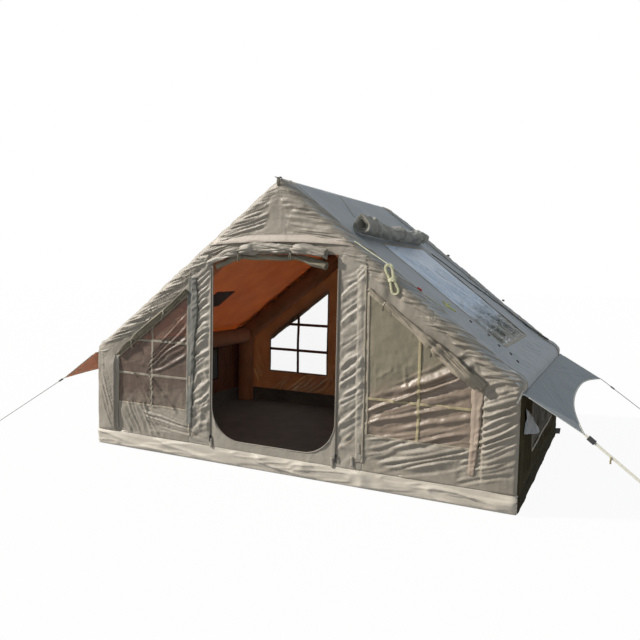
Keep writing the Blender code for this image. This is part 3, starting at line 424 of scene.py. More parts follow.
class Finish:
    """A material in the making, with short ways to add what its surface needs."""

    def __init__(self, name, **surface):
        self.material = bpy.data.materials.new(name)
        self.material.use_nodes = True
        self.tree = self.material.node_tree
        self.place = add(self.tree, "TexCoord", "Object")
        self.surface(**surface)

    def surface(self, **settings):
        """Set the surface's own inputs, and give back the material."""
        fill(self.tree, self.tree.nodes["Principled BSDF"], settings)
        return self.material

    def mottle(self, scale, detail, place=None, **settings):
        """An uneven field that goes through the solid."""
        settings.update(Scale=scale, Detail=detail, Vector=place or self.place)
        return add(self.tree, "TexNoise", "Fac", **settings)

    def waves(self, pitch, directions, **settings):
        """Rows of waves of that pitch, one field for each direction."""
        settings.update(Scale=2 * pi / (20 * pitch))
        return [add(self.tree, "TexWave", "Fac", bands_direction=way, **settings) for way in directions]

    def math(self, operation, *values):
        """One sum over values and outputs."""
        settings = {f"at_{k}": value for k, value in enumerate(values)}
        return add(self.tree, "Math", 0, operation=operation, **settings)

    def bump(self, strength, distance, height, **settings):
        """Normals of a surface raised by height."""
        settings.update(Strength=strength, Distance=distance, Height=height)
        return add(self.tree, "Bump", "Normal", **settings)

    def tones(self, share, *stops):
        """Colours that change along share, each stop as its position and its colour."""
        colour = add(self.tree, "ValToRGB", "Color", Fac=share)
        elements = colour.node.color_ramp.elements
        while len(elements) < len(stops):
            elements.new(0.5)
        for element, (position, shade) in zip(elements, stops):
            element.position = position
            element.color = shade
        return colour


def woven(name, base, dark, roughness=0.75, thread=0.0016, crumple=0.0016, sheen=0.15, glow=0.0, shine=1.5):
    """Coated oxford cloth: a fine square weave, small crumples, and a soft change of colour over the panel.
    glow is how much of the light that falls on the other side comes through, shine the surface's index."""
    look = Finish(name, Roughness=roughness, Sheen_Weight=sheen, Sheen_Roughness=0.5, IOR=shine)
    if glow:
        look.surface(Subsurface_Weight=glow, Subsurface_Radius=(1.0, 0.75, 0.5), Subsurface_Scale=0.006)
    tone = look.tones(look.mottle(6.0, 4.0, Roughness=0.55), (0.30, ink(*dark)), (0.68, ink(*base)))
    along, across = look.waves(thread, "XY", Vector=add(look.tree, "UVMap", "UV", uv_map="cut"))
    threads = look.bump(0.35, 0.0003, look.math("MULTIPLY", along, across))
    small = look.mottle(34.0, 5.0, Roughness=0.6, Distortion=0.6)
    return look.surface(Base_Color=tone, Normal=look.bump(0.6, crumple * 2.5, small, Normal=threads))


def clear_film(name, colour, alpha, low_tone=None, line=(0.0, 0.0, 0.1), ripple=0.002, scale=9.0,
               streak=(1.0, 1.0, 1.0), gloss=1.42, crease_glints=0.0):
    """Soft clear film: partly see-through and glossy, with slow ripples. A second colour, given after alpha,
    takes over below a slanted line, given by its slope, its height at the middle and its softness, with
    ragged edges. The last argument is the scale of thin pale lines in that part: painted highlights on
    creases."""
    coat = 0.15 if gloss > 1.3 else 0.0
    colour = ink(*colour)
    look = Finish(name, Roughness=0.40, Alpha=alpha, IOR=gloss, Coat_Weight=coat, Coat_Roughness=0.34)
    look.surface(Normal=look.bump(0.8, ripple * 4, look.mottle(scale, 3.0, Distortion=1.2)))
    if low_tone:
        slope, height, soft = line
        stretched = add(look.tree, "Mapping", "Vector", Scale=streak, Vector=look.place)
        ragged = look.mottle(14.0, 6.0, stretched, Roughness=0.65, Distortion=1.0)
        x = add(look.tree, "SeparateXYZ", "X", Vector=look.place)
        line_z = look.math("MULTIPLY_ADD", x, slope, height + soft * 2.2)
        above = look.math("SUBTRACT", x.node.outputs["Z"], line_z)
        rough = look.math("MULTIPLY_ADD", ragged, soft * 4.4, above)
        share = add(look.tree, "MapRange", "Result", From_Min=-soft, From_Max=soft, Value=rough)
        colour = look.tones(share, (0.0, ink(*low_tone)), (1.0, colour))
        # Thin pale lines mixed into the colour: painted highlights on creases.
        if crease_glints:
            dark, pale = ink(0, 0, 0), ink(190, 190, 190)
            stops = (0.478, dark), (0.496, pale), (0.504, pale), (0.522, dark)
            thin = look.tones(look.mottle(crease_glints, 2.0, stretched, Distortion=1.5), *stops)
            glint_colour = ink(226, 232, 234)
            colour = add(look.tree, "Mix", 2, data_type="RGBA", at_0=thin, at_6=colour, at_7=glint_colour)
    return look.surface(Base_Color=colour)


def plain(name, colour, roughness, metallic=0.0, grain=120.0, coat=0.0):
    """Moulded or metal finish with a fine grain in its height and a little wear in its colour."""
    look = Finish(name, Roughness=roughness, Metallic=metallic, Coat_Weight=coat)
    fine = look.mottle(grain, 3.0)
    colour = ink(*colour)
    worn = tuple(min(1.0, c * 1.5 + 0.01) for c in colour[:3]) + (1.0,)
    tone = look.tones(fine, (0.45, colour), (0.8, worn))
    return look.surface(Base_Color=tone, Normal=look.bump(0.5, 0.0003, fine))


def braided(name, base, dark):
    """Braid: two sets of diagonal strands crossing along the rope, from waves in opposite twists."""
    look = Finish(name, Roughness=0.7, Sheen_Weight=0.2)
    left, right = look.waves(0.006, ("DIAGONAL", "X"), Distortion=0.4, Vector=look.place)
    cross = look.math("MAXIMUM", left, right)
    # Darker where the strands dip: painted shade between the strands.
    tone = look.tones(cross, (0.2, ink(*dark)), (0.9, ink(*base)))
    return look.surface(Base_Color=tone, Normal=look.bump(0.6, 0.0006, cross))


KHAKI = woven("khaki_cloth", (144, 136, 123), (129, 121, 108), 0.50)
PALE = woven("pale_cloth", (150, 143, 131), (134, 127, 115), 0.50)
FLAP = woven("flap_cloth", (168, 157, 144), (152, 141, 128), 0.50)
SKIRT = woven("skirt_cloth", (190, 182, 169), (170, 162, 149), 0.55, crumple=0.001)
SHADED_SKIRT = woven(
    "shaded_skirt_cloth", (62, 57, 44), (50, 46, 35), 0.9, crumple=0.001, sheen=0.0, shine=1.1
)
# Roof cloth: the walls' khaki made bluer and greyer, as painted sky-lit shade.
SKY_SHADED_ROOF = woven("roof_cloth", (139, 146, 150), (129, 136, 140), 0.6, sheen=0.2)
# Awning cloth: darker and bluer than the roof's, as painted sky-lit shade.
SKY_SHADED_AWNING = woven("awning_cloth", (123, 131, 135), (113, 121, 125), 0.7, sheen=0.1)
RUST = woven("rust_lining", (196, 157, 128), (178, 141, 112), crumple=0.001, glow=0.72)
LINING = woven("shaded_lining", (132, 72, 40), (112, 60, 32), crumple=0.001)
# Side walls' cloth: the khaki made dark olive on both sides, as painted shade.
DARK_SHADED_WALL = woven("shaded_wall_cloth", (68, 63, 45), (56, 52, 37), 0.9, sheen=0.0, shine=1.1)
MESH = woven("mesh_cloth", (138, 129, 109), (108, 101, 83), thread=0.0024)
SLEEVE = woven("tube_sleeve", (206, 128, 82), (180, 110, 68), crumple=0.002)
DARK_PATCH = woven("patch_cloth", (96, 70, 54), (80, 58, 44))
FLOOR_CLOTH = woven("floor_cloth", (120, 110, 96), (100, 92, 80))
TAPE = woven("window_tape", (163, 151, 117), (143, 132, 101), thread=0.002)
GREY_TAPE = woven("grey_window_tape", (148, 140, 124), (124, 117, 102), thread=0.002)
# Dark blue-grey for the flap on the doorway's left strip: painted shade.
SHADE_BAND = woven("painted_shade_band_cloth", (106, 105, 98), (84, 84, 78), crumple=0.003)
PINK_HEM = woven("hem_cloth", (152, 136, 121), (132, 118, 104), thread=0.002)
BINDING = woven("seam_binding", (160, 150, 132), (138, 128, 111), thread=0.0022)
COVER = woven("cover_cloth", (148, 137, 120), (124, 114, 98), crumple=0.003)
DULL_COVER = woven("dull_cover_cloth", (122, 114, 95), (98, 91, 74), crumple=0.003)
SKY_COVER = woven("skylight_cover_cloth", (142, 140, 130), (114, 112, 104), crumple=0.003)
STRAP_DARK = woven("tie_webbing", (96, 90, 74), (74, 70, 56), thread=0.002)
# Black for the peg loops, and for a line of painted shadow beside the skylight.
BLACK_TAPE_AND_SHADOW_LINE = woven("black_tape_and_painted_shadow", (58, 58, 56), (44, 44, 43), thread=0.002)
TOGGLE = plain("toggle_plastic", (186, 178, 160), 0.4)
SHADED_FILM = clear_film("shaded_film", (64, 58, 42), 0.90, gloss=1.03)
LEFT_FILM = clear_film("left_film", (120, 102, 90), 0.48, (146, 132, 118), (0.20, 0.62, 0.05), scale=7.0)
RIGHT_FILM = clear_film("right_film", (130, 123, 104), 0.86, (132, 117, 102), (0.45, 0.30, 0.05), scale=7.0)
CLEAR_FILM = clear_film("clear_film", (236, 236, 236), 0.04)
# Skylight: its pale blue is painted sky reflection, its dark green-grey lower part painted dark reflection,
# its pale lines painted highlights.
SKYLIGHT_FILM = clear_film(
    "skylight_film", (214, 228, 244), 0.80, (58, 68, 58), (0.0, 1.02, 0.09), 0.010, 11.0,
    (1.0, 0.35, 1.0), crease_glints=5.5,
)
BLACK = plain("black_plastic", (28, 28, 29), 0.35, coat=0.3)
ZIP = plain("zip_tape", (86, 80, 70), 0.6, grain=300.0)
METAL = plain("dark_metal", (52, 52, 54), 0.35, metallic=0.8)
STEEL = plain("steel", (168, 170, 174), 0.32, metallic=1.0)
GREY_ROPE = braided("grey_rope", (150, 150, 138), (84, 84, 76))
CREAM_ROPE = braided("cream_rope", (222, 220, 186), (160, 156, 122))
RED = plain("red_plastic", (168, 28, 30), 0.4)
GREEN_ROPE = braided("green_rope", (206, 206, 120), (140, 138, 70))
STRAP = plain("webbing", (196, 194, 182), 0.7, grain=400.0)


# Ropes


def rope_curve(name, points, diameter, material, slot, node, width=None):
    curve = bpy.data.curves.new(name, "CURVE")
    curve.dimensions = "3D"
    curve.bevel_depth = diameter / 2
    curve.bevel_resolution = 3
    curve.use_fill_caps = True
    if width:
        curve.extrude = (width - diameter) / 2
    spline = curve.splines.new("POLY")
    spline.points.add(len(points) - 1)
    for point, co in zip(spline.points, points):
        point.co = (*co, 1.0)
    curve.materials.append(material)
    obj = bpy.data.objects.new(name, curve)
    bpy.context.scene.collection.objects.link(obj)
    return on_tent(obj, node)


def path_length(points):
    return sum((Vector(b) - Vector(a)).length for a, b in zip(points, points[1:]))


CORNERS = ((-1, -1, "front_left"), (1, -1, "front_right"), (-1, 1, "rear_left"), (1, 1, "rear_right"))
AWNING_TIP = (1.812, 1.006)
TIP_HEIGHT = {-1: 0.452, 1: 0.489}
PEG = {-1: 2.500, 1: 2.435}
PEG_Y, HITCH, PEG_LEAN, PEG_RADIUS = 1.070, 0.030, 0.30, 0.0035


def guy_points(side, rear, wide):
    """The guy's points from its awning tip to its peg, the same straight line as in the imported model."""
    tip = Vector((side * AWNING_TIP[0], rear * AWNING_TIP[1], TIP_HEIGHT[side] + 0.0015))
    peg = Vector((side * PEG[side], rear * PEG_Y, HITCH))
    way = (peg - tip).normalized()
    across = way.cross(Vector((0.0, 1.0, 0.0))).normalized()
    outward = Vector((side * cos(PEG_LEAN), 0.0, -sin(PEG_LEAN)))
    room = (PEG_RADIUS + GAP + wide / 2 * abs(across.dot(outward))) / abs(way.dot(outward))
    start, end = tip + way * (0.0015 * abs(way.z) + GAP), peg - way * room
    return [start.lerp(end, k / 23) for k in range(24)]


def guys():
    """Four guys. The front right one is a flat strap, the others are ropes."""
    for side, rear, name in CORNERS:
        strap = side > 0 and rear < 0
        wide = STRAP_WIDTH if strap else ROPE
        points = guy_points(side, rear, wide)
        made_of = (0.003, STRAP, "guy_strap") if strap else (ROPE, GREY_ROPE, "guy_rope")
        obj = rope_curve(f"{name}_guy", points, *made_of, f"{name}_guy_rope", wide if strap else None)


HANK = dict(length=0.185, waist=0.006, shoulder=0.014, pitch=0.0063, turns=6, layers=3, loop=24)
HANK_CENTRE = Vector((0.753, -DEPTH / 2 - GAP - ROPE / 2, RIDGE - 0.753 * tan(SLOPE) - 0.0237))
HANK_LEAN = 0.32
LOWER_LINE = ((-0.985, 0.955), (-0.925, 1.030), (-0.872, 1.096), (-0.820, 1.180), (-0.770, 1.268))


def hank_points():
    """Loops drawn in at the waist, spiralling out and in by one pitch a turn, one layer on the next."""
    h = HANK
    per_layer = h["turns"] // h["layers"]
    turn = np.arange(h["turns"] * h["loop"] + 1) / h["loop"]
    layer = np.minimum((turn / per_layer).astype(int), h["layers"] - 1)
    share = turn - layer * per_layer
    spread = np.where(layer % 2 == 0, share, per_layer - share)
    height = sum(np.clip((turn - step * per_layer + 0.25) / 0.5, 0.0, 1.0) for step in range(1, h["layers"]))
    angle, grow = 2 * pi * turn, h["pitch"] * spread
    waist, shoulder = h["waist"] + grow, (h["shoulder"] + grow) / sin(pi / 4)
    across = (shoulder + waist) / 2 * np.sin(angle) + (shoulder - waist) / 2 * np.sin(3 * angle)
    along = (h["length"] / 2 - h["pitch"] * per_layer + grow) * np.cos(angle)
    return across, along, height * h["pitch"]


def roof_point(side, y, v, depth=0.0):
    """Right or left roof unrolled: y along the ridge, v down the slope, round the eave and down the lip."""
    y, v, depth = np.broadcast_arrays(np.asarray(y, float), np.asarray(v, float), np.asarray(depth, float))
    slope_x = np.maximum(v * cos(SLOPE) - depth * sin(SLOPE), 0.0)
    angle = pi / 2 - SLOPE - (v - ROOF_FLAT) / EAVE_RADIUS
    reach = EAVE_RADIUS - depth
    sloping, turning = v <= ROOF_FLAT, v <= ROOF_FLAT + ROOF_ARC
    lip_z = EAVE_Z - (v - ROOF_FLAT - ROOF_ARC)
    x = np.where(sloping, slope_x, np.where(turning, EAVE_X + reach * np.cos(angle), WIDTH / 2 - depth))
    z = np.where(sloping, rafter(slope_x, depth), np.where(turning, EAVE_Z + reach * np.sin(angle), lip_z))
    return joined(side * x, y, z)


def smooth_line(knots, count):
    """Points of a smooth curve through the knots: Catmull-Rom, evenly shared between them."""
    knots = np.asarray(knots, dtype=float)
    ends = np.concatenate([[2 * knots[0] - knots[1]], knots, [2 * knots[-1] - knots[-2]]])
    at = (len(knots) - 1) * np.arange(count) / (count - 1)
    i = np.minimum(at.astype(int), len(knots) - 2)
    t = (at - i)[:, None]
    a, b, c, d = ends[i], ends[i + 1], ends[i + 2], ends[i + 3]
    square, cube = 2 * a - 5 * b + 4 * c - d, 3 * b - a - 3 * c + d
    return 0.5 * (2 * b + (c - a) * t + square * t ** 2 + cube * t ** 3)


def spare_guy():
    """The spare guy: a hank at the front rafter and its two free stretches along the roof's edge."""
    down = Vector((sin(HANK_LEAN), 0.0, -cos(HANK_LEAN)))
    right = Vector((cos(HANK_LEAN), 0.0, sin(HANK_LEAN)))
    across, along, out = hank_points()
    points = [
        HANK_CENTRE + right * a - down * b + Vector((0.0, -c, 0.0)) for a, b, c in zip(across, along, out)
    ]
    hank = rope_curve("spare_hank", points, ROPE, CREAM_ROPE, "spare_rope", "spare_guy_hank")
    lift = ROPE / 2 + GAP
    raised = Vector((0.0, -HANK["layers"] * HANK["pitch"] / 2, 0.0))
    top = HANK_CENTRE - down * (HANK["length"] / 2 + lift) + raised
    anchor = Vector(roof_point(1, -0.985, 0.635, -lift))
    upper = [anchor.lerp(top, k / 19) for k in range(20)]
    upper_line = rope_curve("spare_upper_line", upper, ROPE, CREAM_ROPE, "spare_rope", "spare_guy_upper_line")
    knots = [roof_point(1, y, v, -lift) for y, v in LOWER_LINE]
    lower = [Vector(p) for p in smooth_line(knots, 28)]
    lower_line = rope_curve("spare_lower_line", lower, ROPE, CREAM_ROPE, "spare_rope", "spare_guy_lower_line")


def hank_wrap():
    """A few passes of rope over the waist of the hank, back and forth, that hold it together."""
    t = np.linspace(0.0, 5 * pi, 120)
    swing = 1.8 * np.sin(t)
    down = np.array([sin(HANK_LEAN), 0.0, -cos(HANK_LEAN)])
    right = np.array([cos(HANK_LEAN), 0.0, sin(HANK_LEAN)])
    middle = np.array(HANK_CENTRE) + np.array([0.0, -HANK["pitch"], 0.0])
    wide = HANK["waist"] + 2 * HANK["pitch"] + ROPE / 2 + 0.0026
    deep = HANK["pitch"] + ROPE / 2 + 0.0026
    path = (
        middle + right * (wide * np.sin(swing))[:, None] + down * (0.024 * (t / t[-1] - 0.5))[:, None]
        - np.array([0.0, 1.0, 0.0]) * (deep * np.cos(swing))[:, None]
    )
    tube("spare_hank_wrap", path, 0.0025, CREAM_ROPE, 10)


# Light and ground


def lamp(name, kind, place, aim, energy, **settings):
    data = bpy.data.lights.new(name, kind)
    data.energy = energy
    for key, value in settings.items():
        setattr(data, key, value)
    made = bpy.data.objects.new(name, data)
    bpy.context.scene.collection.objects.link(made)
    made.location = place
    made.rotation_mode = "QUATERNION"
    made.rotation_quaternion = (Vector(aim) - Vector(place)).to_track_quat("-Z", "Y")


def white_where_seen(tree, lit, strength):
    """White of that strength for the camera, in reflections and through film; lit for all the rest."""
    kind = "Background" if lit.node.type == "BACKGROUND" else "Emission"
    seen = add(tree, kind, 0, Color=(1.0, 1.0, 1.0, 1.0), Strength=1.0 if strength == 1.0 else 1.05)
    path = tree.nodes.new("ShaderNodeLightPath").outputs
    rays = path["Is Camera Ray"]
    for other in ("Is Glossy Ray", "Is Transmission Ray"):
        rays = add(tree, "Math", 0, operation="MAXIMUM", at_0=rays, at_1=path[other])
    share = add(tree, "Math", 0, operation="MULTIPLY", at_0=rays, at_1=strength)
    return add(tree, "MixShader", 0, Fac=share, at_1=lit, at_2=seen)


def studio():
    """White ground that keeps a faint shadow, white surroundings, and a low warm sun from front left."""
    scene = bpy.context.scene
    scene.view_settings.view_transform = "Standard"
    world = bpy.data.worlds.new("surroundings")
    scene.world = world
    world.use_nodes = True
    tree = world.node_tree
    sky = fill(tree, tree.nodes["Background"], dict(Color=(0.78, 0.89, 1.0, 1.0), Strength=0.40))
    tree.links.new(white_where_seen(tree, sky.outputs[0], 1.0), tree.nodes["World Output"].inputs["Surface"])

    ground = bpy.data.materials.new("ground")
    ground.use_nodes = True
    tree = ground.node_tree
    grey = dict(Base_Color=(0.35, 0.35, 0.35, 1.0), Roughness=0.9)
    plainly = fill(tree, tree.nodes["Principled BSDF"], grey)
    seen = white_where_seen(tree, plainly.outputs[0], 0.90)
    tree.links.new(seen, tree.nodes["Material Output"].inputs["Surface"])
    size = 40.0
    corners = [(-size, -size, -0.001), (size, -size, -0.001), (size, size, -0.001), (-size, size, -0.001)]
    floor = mesh_object("floor", corners, [[[0, 1, 2, 3]]], None, None, (ground,), smoothed=False)

    lamp("sun", "SUN", (-5.4, -2.4, 3.6), (0.0, 0.0, 0.0), 5.2, angle=radians(2), color=(1.0, 0.95, 0.88))
    lamp("front_fill", "AREA", (4.5, -6.5, 3.2), (0.2, 0.0, 0.8), 22.0, size=4.0, color=(0.92, 0.96, 1.0))


# Cloth panels


def steps(marks, pitch):
    """Numbers through every mark, with even steps of about pitch between them."""
    counts = [max(2, int(round((b - a) / pitch)) + 1) for a, b in zip(marks, marks[1:])]
    parts = [np.linspace(a, b, count)[:-1] for a, b, count in zip(marks, marks[1:], counts)]
    return np.concatenate(parts + [[marks[-1]]])


def rounded_ends(pitch):
    """Places from gable to gable: close together on the two rounded edges, even between them."""
    turn = np.linspace(pi / 4, 0.0, 7)
    edge = EDGE_ROUND * (1 - np.sin(turn))
    half = DEPTH / 2
    middle = steps([EDGE_ROUND - half, half - EDGE_ROUND], pitch)[1:-1]
    return np.concatenate([edge - half, middle, (half - edge)[::-1]])


def edge_depth(y):
    """How deep the cloth lies at y, so that its edge and its neighbour's make a quarter circle."""
    return rounding(DEPTH / 2 - np.abs(y))


def declare(flats):
    """The cloth's flat width, length and area, from the grids it was made from less the cells left out;
    worked out, not kept.
    """
    corners = np.concatenate([uv.reshape(-1, 2) for _, uv, _ in flats])
    width, length = corners.max(axis=0) - corners.min(axis=0)
    area = 0.0
    for _, uv, keep in flats:
        a, b = uv[1:, 1:] - uv[:-1, :-1], uv[1:, :-1] - uv[:-1, 1:]
        cells = np.abs(a[..., 0] * b[..., 1] - a[..., 1] * b[..., 0]) / 2
        area += float(cells.sum() if keep is None else cells[keep].sum())
    area = min(area, float(width * length))


def sewn(name, node, made, outside, inside, slot, rests_on, thick=SHELL, held="stretched"):
    """A sheet cut as one grid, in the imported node's place."""
    obj = cloth(name, [made], outside, inside, thick)
    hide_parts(node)
    declare([made])


# Fans of folds on the front: the first and the last fold as x0, z0, x1, z1, how many, how high, and a seed
FRONT_FOLDS = (
    # over the left rafter, rising towards the door
    ((-1.49, 0.70, -1.16, 0.80), (-1.02, 1.05, -0.60, 1.24), 13, 0.009, 1),
    ((-1.04, 1.03, -0.70, 1.19), (-0.56, 1.41, -0.26, 1.50), 13, 0.009, 2),
    ((-0.52, 1.44, -0.08, 1.54), (-0.16, 1.72, -0.04, 1.76), 9, 0.009, 3),
    # right of the gable's middle, falling to the right rafter
    ((0.02, 1.52, 0.52, 1.47), (0.00, 1.76, 0.22, 1.69), 7, 0.009, 4),
    # over the right rafter, nearly level, closing in on the eave's corner
    ((0.42, 1.42, 0.60, 1.38), (0.90, 1.07, 1.12, 1.00), 12, 0.011, 5),
    ((0.84, 1.13, 1.06, 1.04), (1.28, 0.78, 1.48, 0.76), 13, 0.013, 6),
    ((1.24, 0.82, 1.44, 0.78), (1.32, 0.62, 1.50, 0.70), 5, 0.013, 7),
    # under the right window and across its film, rising to the right
    ((0.58, 0.26, 1.30, 0.50), (0.80, 0.09, 1.36, 0.24), 7, 0.017, 8),
    ((0.58, 0.20, 0.80, 0.28), (0.66, 0.10, 0.94, 0.18), 3, 0.010, 21),
    ((0.60, 0.56, 1.26, 0.92), (0.60, 0.28, 1.29, 0.46), 8, 0.018, 9),
    # right of the right window, up to the corner
    ((1.26, 0.62, 1.50, 0.74), (1.24, 0.34, 1.51, 0.48), 8, 0.013, 10),
    ((1.18, 0.34, 1.50, 0.50), (1.14, 0.09, 1.50, 0.20), 9, 0.014, 11),
    # left of the left window and under it, falling to the right
    ((-1.42, 0.70, -1.31, 0.30), (-1.50, 0.44, -1.34, 0.11), 7, 0.007, 12),
    ((-1.31, 0.36, -1.20, 0.11), (-1.00, 0.36, -0.82, 0.11), 9, 0.010, 13),
    ((-1.12, 0.34, -0.62, 0.24), (-1.04, 0.16, -0.50, 0.12), 6, 0.012, 14),
    # across the left window's film
    ((-0.69, 1.04, -1.00, 0.70), (-0.69, 0.66, -1.06, 0.50), 6, 0.012, 15),
    ((-1.27, 0.64, -0.98, 0.30), (-0.98, 0.60, -0.67, 0.28), 6, 0.010, 16),
    # gathers beside the doorway, rising to the right
    ((-0.665, 0.58, -0.49, 0.70), (-0.665, 1.30, -0.49, 1.43), 18, 0.014, 17),
    ((-0.665, 0.13, -0.49, 0.21), (-0.665, 0.62, -0.49, 0.73), 11, 0.011, 19),
    ((0.42, 0.18, 0.600, 0.32), (0.42, 0.80, 0.600, 0.94), 15, 0.013, 18),
    ((0.42, 0.78, 0.600, 0.92), (0.42, 1.26, 0.600, 1.38), 11, 0.011, 20),
)

# Places where the cloth is crumpled rather than folded: middle, reach and height of the crumples
FRONT_CRUMPLES = (
    (-0.575, 0.42, 0.075, 0.28, 0.008),
    (0.51, 0.30, 0.075, 0.20, 0.007),
    (0.50, 1.00, 0.060, 0.25, 0.005),
    (0.80, 0.66, 0.16, 0.14, 0.007),
    (-0.93, 0.40, 0.25, 0.12, 0.005),
    (1.12, 0.60, 0.16, 0.14, 0.004),
)

HANK_REACH = (0.77, 1.20, 0.05, 0.13)


def crumple(x, z, seed):
    """Sharp-edged dents of any direction: the fold lines of smooth fields, laid over each other."""
    bent = x + 0.03 * noise(x * 9, z * 9, seed + 5), z + 0.03 * noise(x * 9 + 7, z * 9, seed + 6)
    first = 0.45 - np.abs(noise(bent[0] * 17, bent[1] * 15, seed))
    second = 0.45 - np.abs(noise(bent[0] * 33 + 5, bent[1] * 29, seed + 1))
    return first + 0.45 * second


def front_relief(x, z):
    """How far the front's cloth stands out of its plane: billow over the air tubes, slow buckles, the
    folds, the crumples, and a step at the outer side of each window. It is calm at the zips and behind the
    hank."""
    depth = outline_depth(x, z)
    billow = 0.007 * bell(depth - TUBE_DEPTH, 0.07)
    slow = 0.005 * noise(x * 3.1, z * 3.7, 40) + 0.003 * noise(x * 8.0 + 3, z * 7.0, 41)
    fine = 0.0012 * noise(x * 24.0, z * 22.0, 42) + 0.0014 * crumple(x * 1.7, z * 1.7, 43)
    rough = np.zeros_like(x)
    for middle_x, middle_z, reach_x, reach_z, height in FRONT_CRUMPLES:
        rough += height * bell(x - middle_x, reach_x, 4) * bell(z - middle_z, reach_z, 4) * crumple(x, z, 44)
    hank_x, hank_z, hank_wide, hank_tall = HANK_REACH
    calm = smooth(depth, 0.0, 0.03)
    calm = calm * (1 - bell(x - hank_x, hank_wide, 4) * bell(z - hank_z, hank_tall, 4))
    beside_door = np.maximum(DOOR_LEFT - x, x - DOOR_RIGHT)
    calm = calm * np.where((z > 0.11) & (z < DOOR_TOP), smooth(np.abs(beside_door), 0.014, 0.034), 1.0)
    calm = calm * smooth(z, 0.10, 0.125)
    outside = 1 - smooth(np.abs(x), 1.32, 1.47)
    step = 0.020 * smooth(-x, 1.306, 1.313) * outside * (1 - smooth(z, 0.58, 0.70)) * smooth(z, 0.10, 0.14)
    step += 0.018 * smooth(x, 1.292, 1.301) * outside * (1 - smooth(z, 0.55, 0.68)) * smooth(z, 0.12, 0.24)
    folds = 1.2 * creases(x, z, FRONT_FOLDS)
    return calm * (billow + slow + fine + rough + folds) + step * smooth(depth, 0.0, 0.05)


def rear_relief(x, z):
    """The same for the rear wall, with plainer folds that fan out from the eaves and under the windows."""
    depth = outline_depth(x, z)
    billow = 0.007 * bell(depth - TUBE_DEPTH, 0.07)
    slow = 0.005 * noise(x * 3.0, z * 3.5, 60) + 0.003 * noise(x * 8.0, z * 7.0, 61)
    fine = 0.0014 * crumple(x * 1.7, z * 1.7, 62)
    calm = smooth(depth, 0.0, 0.03) * smooth(z, 0.10, 0.125)
    return calm * (billow + slow + fine + creases(x, z, REAR_FOLDS))


REAR_SIDE = (
    ((1.49, 0.70, 1.20, 0.78), (1.02, 1.05, 0.66, 1.22), 11, 0.011, 63),
    ((1.04, 1.03, 0.74, 1.17), (0.56, 1.41, 0.30, 1.50), 12, 0.011, 64),
    ((0.52, 1.44, 0.10, 1.53), (0.16, 1.72, 0.04, 1.76), 8, 0.008, 65),
    ((1.36, 0.66, 1.22, 0.32), (1.49, 0.30, 1.32, 0.11), 7, 0.012, 66),
    ((1.22, 0.11, 0.98, 0.29), (0.58, 0.11, 0.42, 0.29), 9, 0.014, 67),
    ((0.52, 0.32, 0.06, 0.52), (0.52, 0.92, 0.06, 1.20), 7, 0.012, 68),
)


def mirrored(fans):
    """The same fans on the other side of the middle."""
    flip = np.array([-1.0, 1.0, -1.0, 1.0])
    return tuple((flip * first, flip * last, *rest, seed + 9) for first, last, *rest, seed in fans)


REAR_FOLDS = REAR_SIDE + mirrored(REAR_SIDE)
FACES = {"front": (-1.0, front_relief), "rear": (1.0, rear_relief)}


def on_gable(face, x, z, lift=0.0):
    """Points of the front's or the rear's folded cloth at x and z, raised out of it by lift."""
    x, z = np.broadcast_arrays(np.asarray(x, float), np.asarray(z, float))
    end, relief = FACES[face]
    out = relief(x, z) - rounding(outline_depth(x, z)) + lift
    return joined(x, end * (DEPTH / 2 + out), z)


def gable_patch(face, xs, edges, pitch, holes=()):
    """A gable's cloth as columns that all run through the same edges, given from the foot up as heights at
    xs. A hole is the number of the edge under it and its two ends."""
    edges = [edge * np.ones_like(xs) for edge in edges]
    rows, bands = [], []
    for k, (low, high) in enumerate(zip(edges, edges[1:])):
        count = max(2, int(round(float(np.max(high - low)) / pitch)))
        rows.append(low + (high - low) * (np.arange(count) / count)[:, None])
        bands += [k] * count
    z = np.concatenate([*rows, edges[-1][None]])
    x = np.broadcast_to(xs, z.shape)
    keep = np.ones((z.shape[0] - 1, z.shape[1] - 1), dtype=bool)
    middle = (xs[1:] + xs[:-1]) / 2
    for band, low, high in holes:
        keep &= ~((np.array(bands)[:, None] == band) & (middle > low) & (middle < high))
    return patch(on_gable(face, x, z), joined(x, z), keep, face == "rear")


def wall_edges(xs, sill, sleeve):
    """Heights at xs of a gable wall's foot, its window's sill, its window's slanted head and its top."""
    return TUB + GAP, sill, rafter(xs, sleeve), outline_top(xs, EDGE_START)


def front_walls():
    """The two window panels and the gable over the doorway, all cut from the same folded front."""
    for side, name in ((-1, "front_left_panel"), (1, "front_right_panel")):
        strip = STRIP_RIGHT if side > 0 else -STRIP_LEFT
        inner, outer, sill, sleeve = FRONT_WINDOW[side]
        xs = np.sort(side * steps([strip + GAP, inner, outer, WIDTH / 2 - EDGE_START], 0.0062))
        hole = (1, *sorted((side * inner, side * outer)))
        made = gable_patch("front", xs, wall_edges(xs, sill, sleeve), 0.0068, [hole])
        sewn(f"{name}_cloth", name, made, KHAKI, RUST, "wall_cloth", ["front_arch_sleeve"])

    low = DOOR_TOP + GAP
    reach = (RIDGE - EDGE_START / cos(SLOPE) - low) / tan(SLOPE)
    xs = steps([-reach, 0.0, reach], 0.007)
    made = gable_patch("front", xs, (low, np.maximum(outline_top(xs, EDGE_START), low)), 0.007)
    sewn("front_gable_cloth", "front_gable_panel", made, KHAKI, RUST, "wall_cloth", ["front_arch_sleeve"])


def ray_to_strips(x, z, turn):
    """Where a ray from x and z meets the outer edges of the doorway's strips or the tub."""
    dx, dz = cos(turn), sin(turn)
    reach = []
    if dx < -1e-9:
        reach.append((STRIP_LEFT - x) / dx)
    if dx > 1e-9:
        reach.append((STRIP_RIGHT - x) / dx)
    if dz < -1e-9:
        reach.append((TUB + GAP - z) / dz)
    return x + dx * min(reach), z + dz * min(reach)


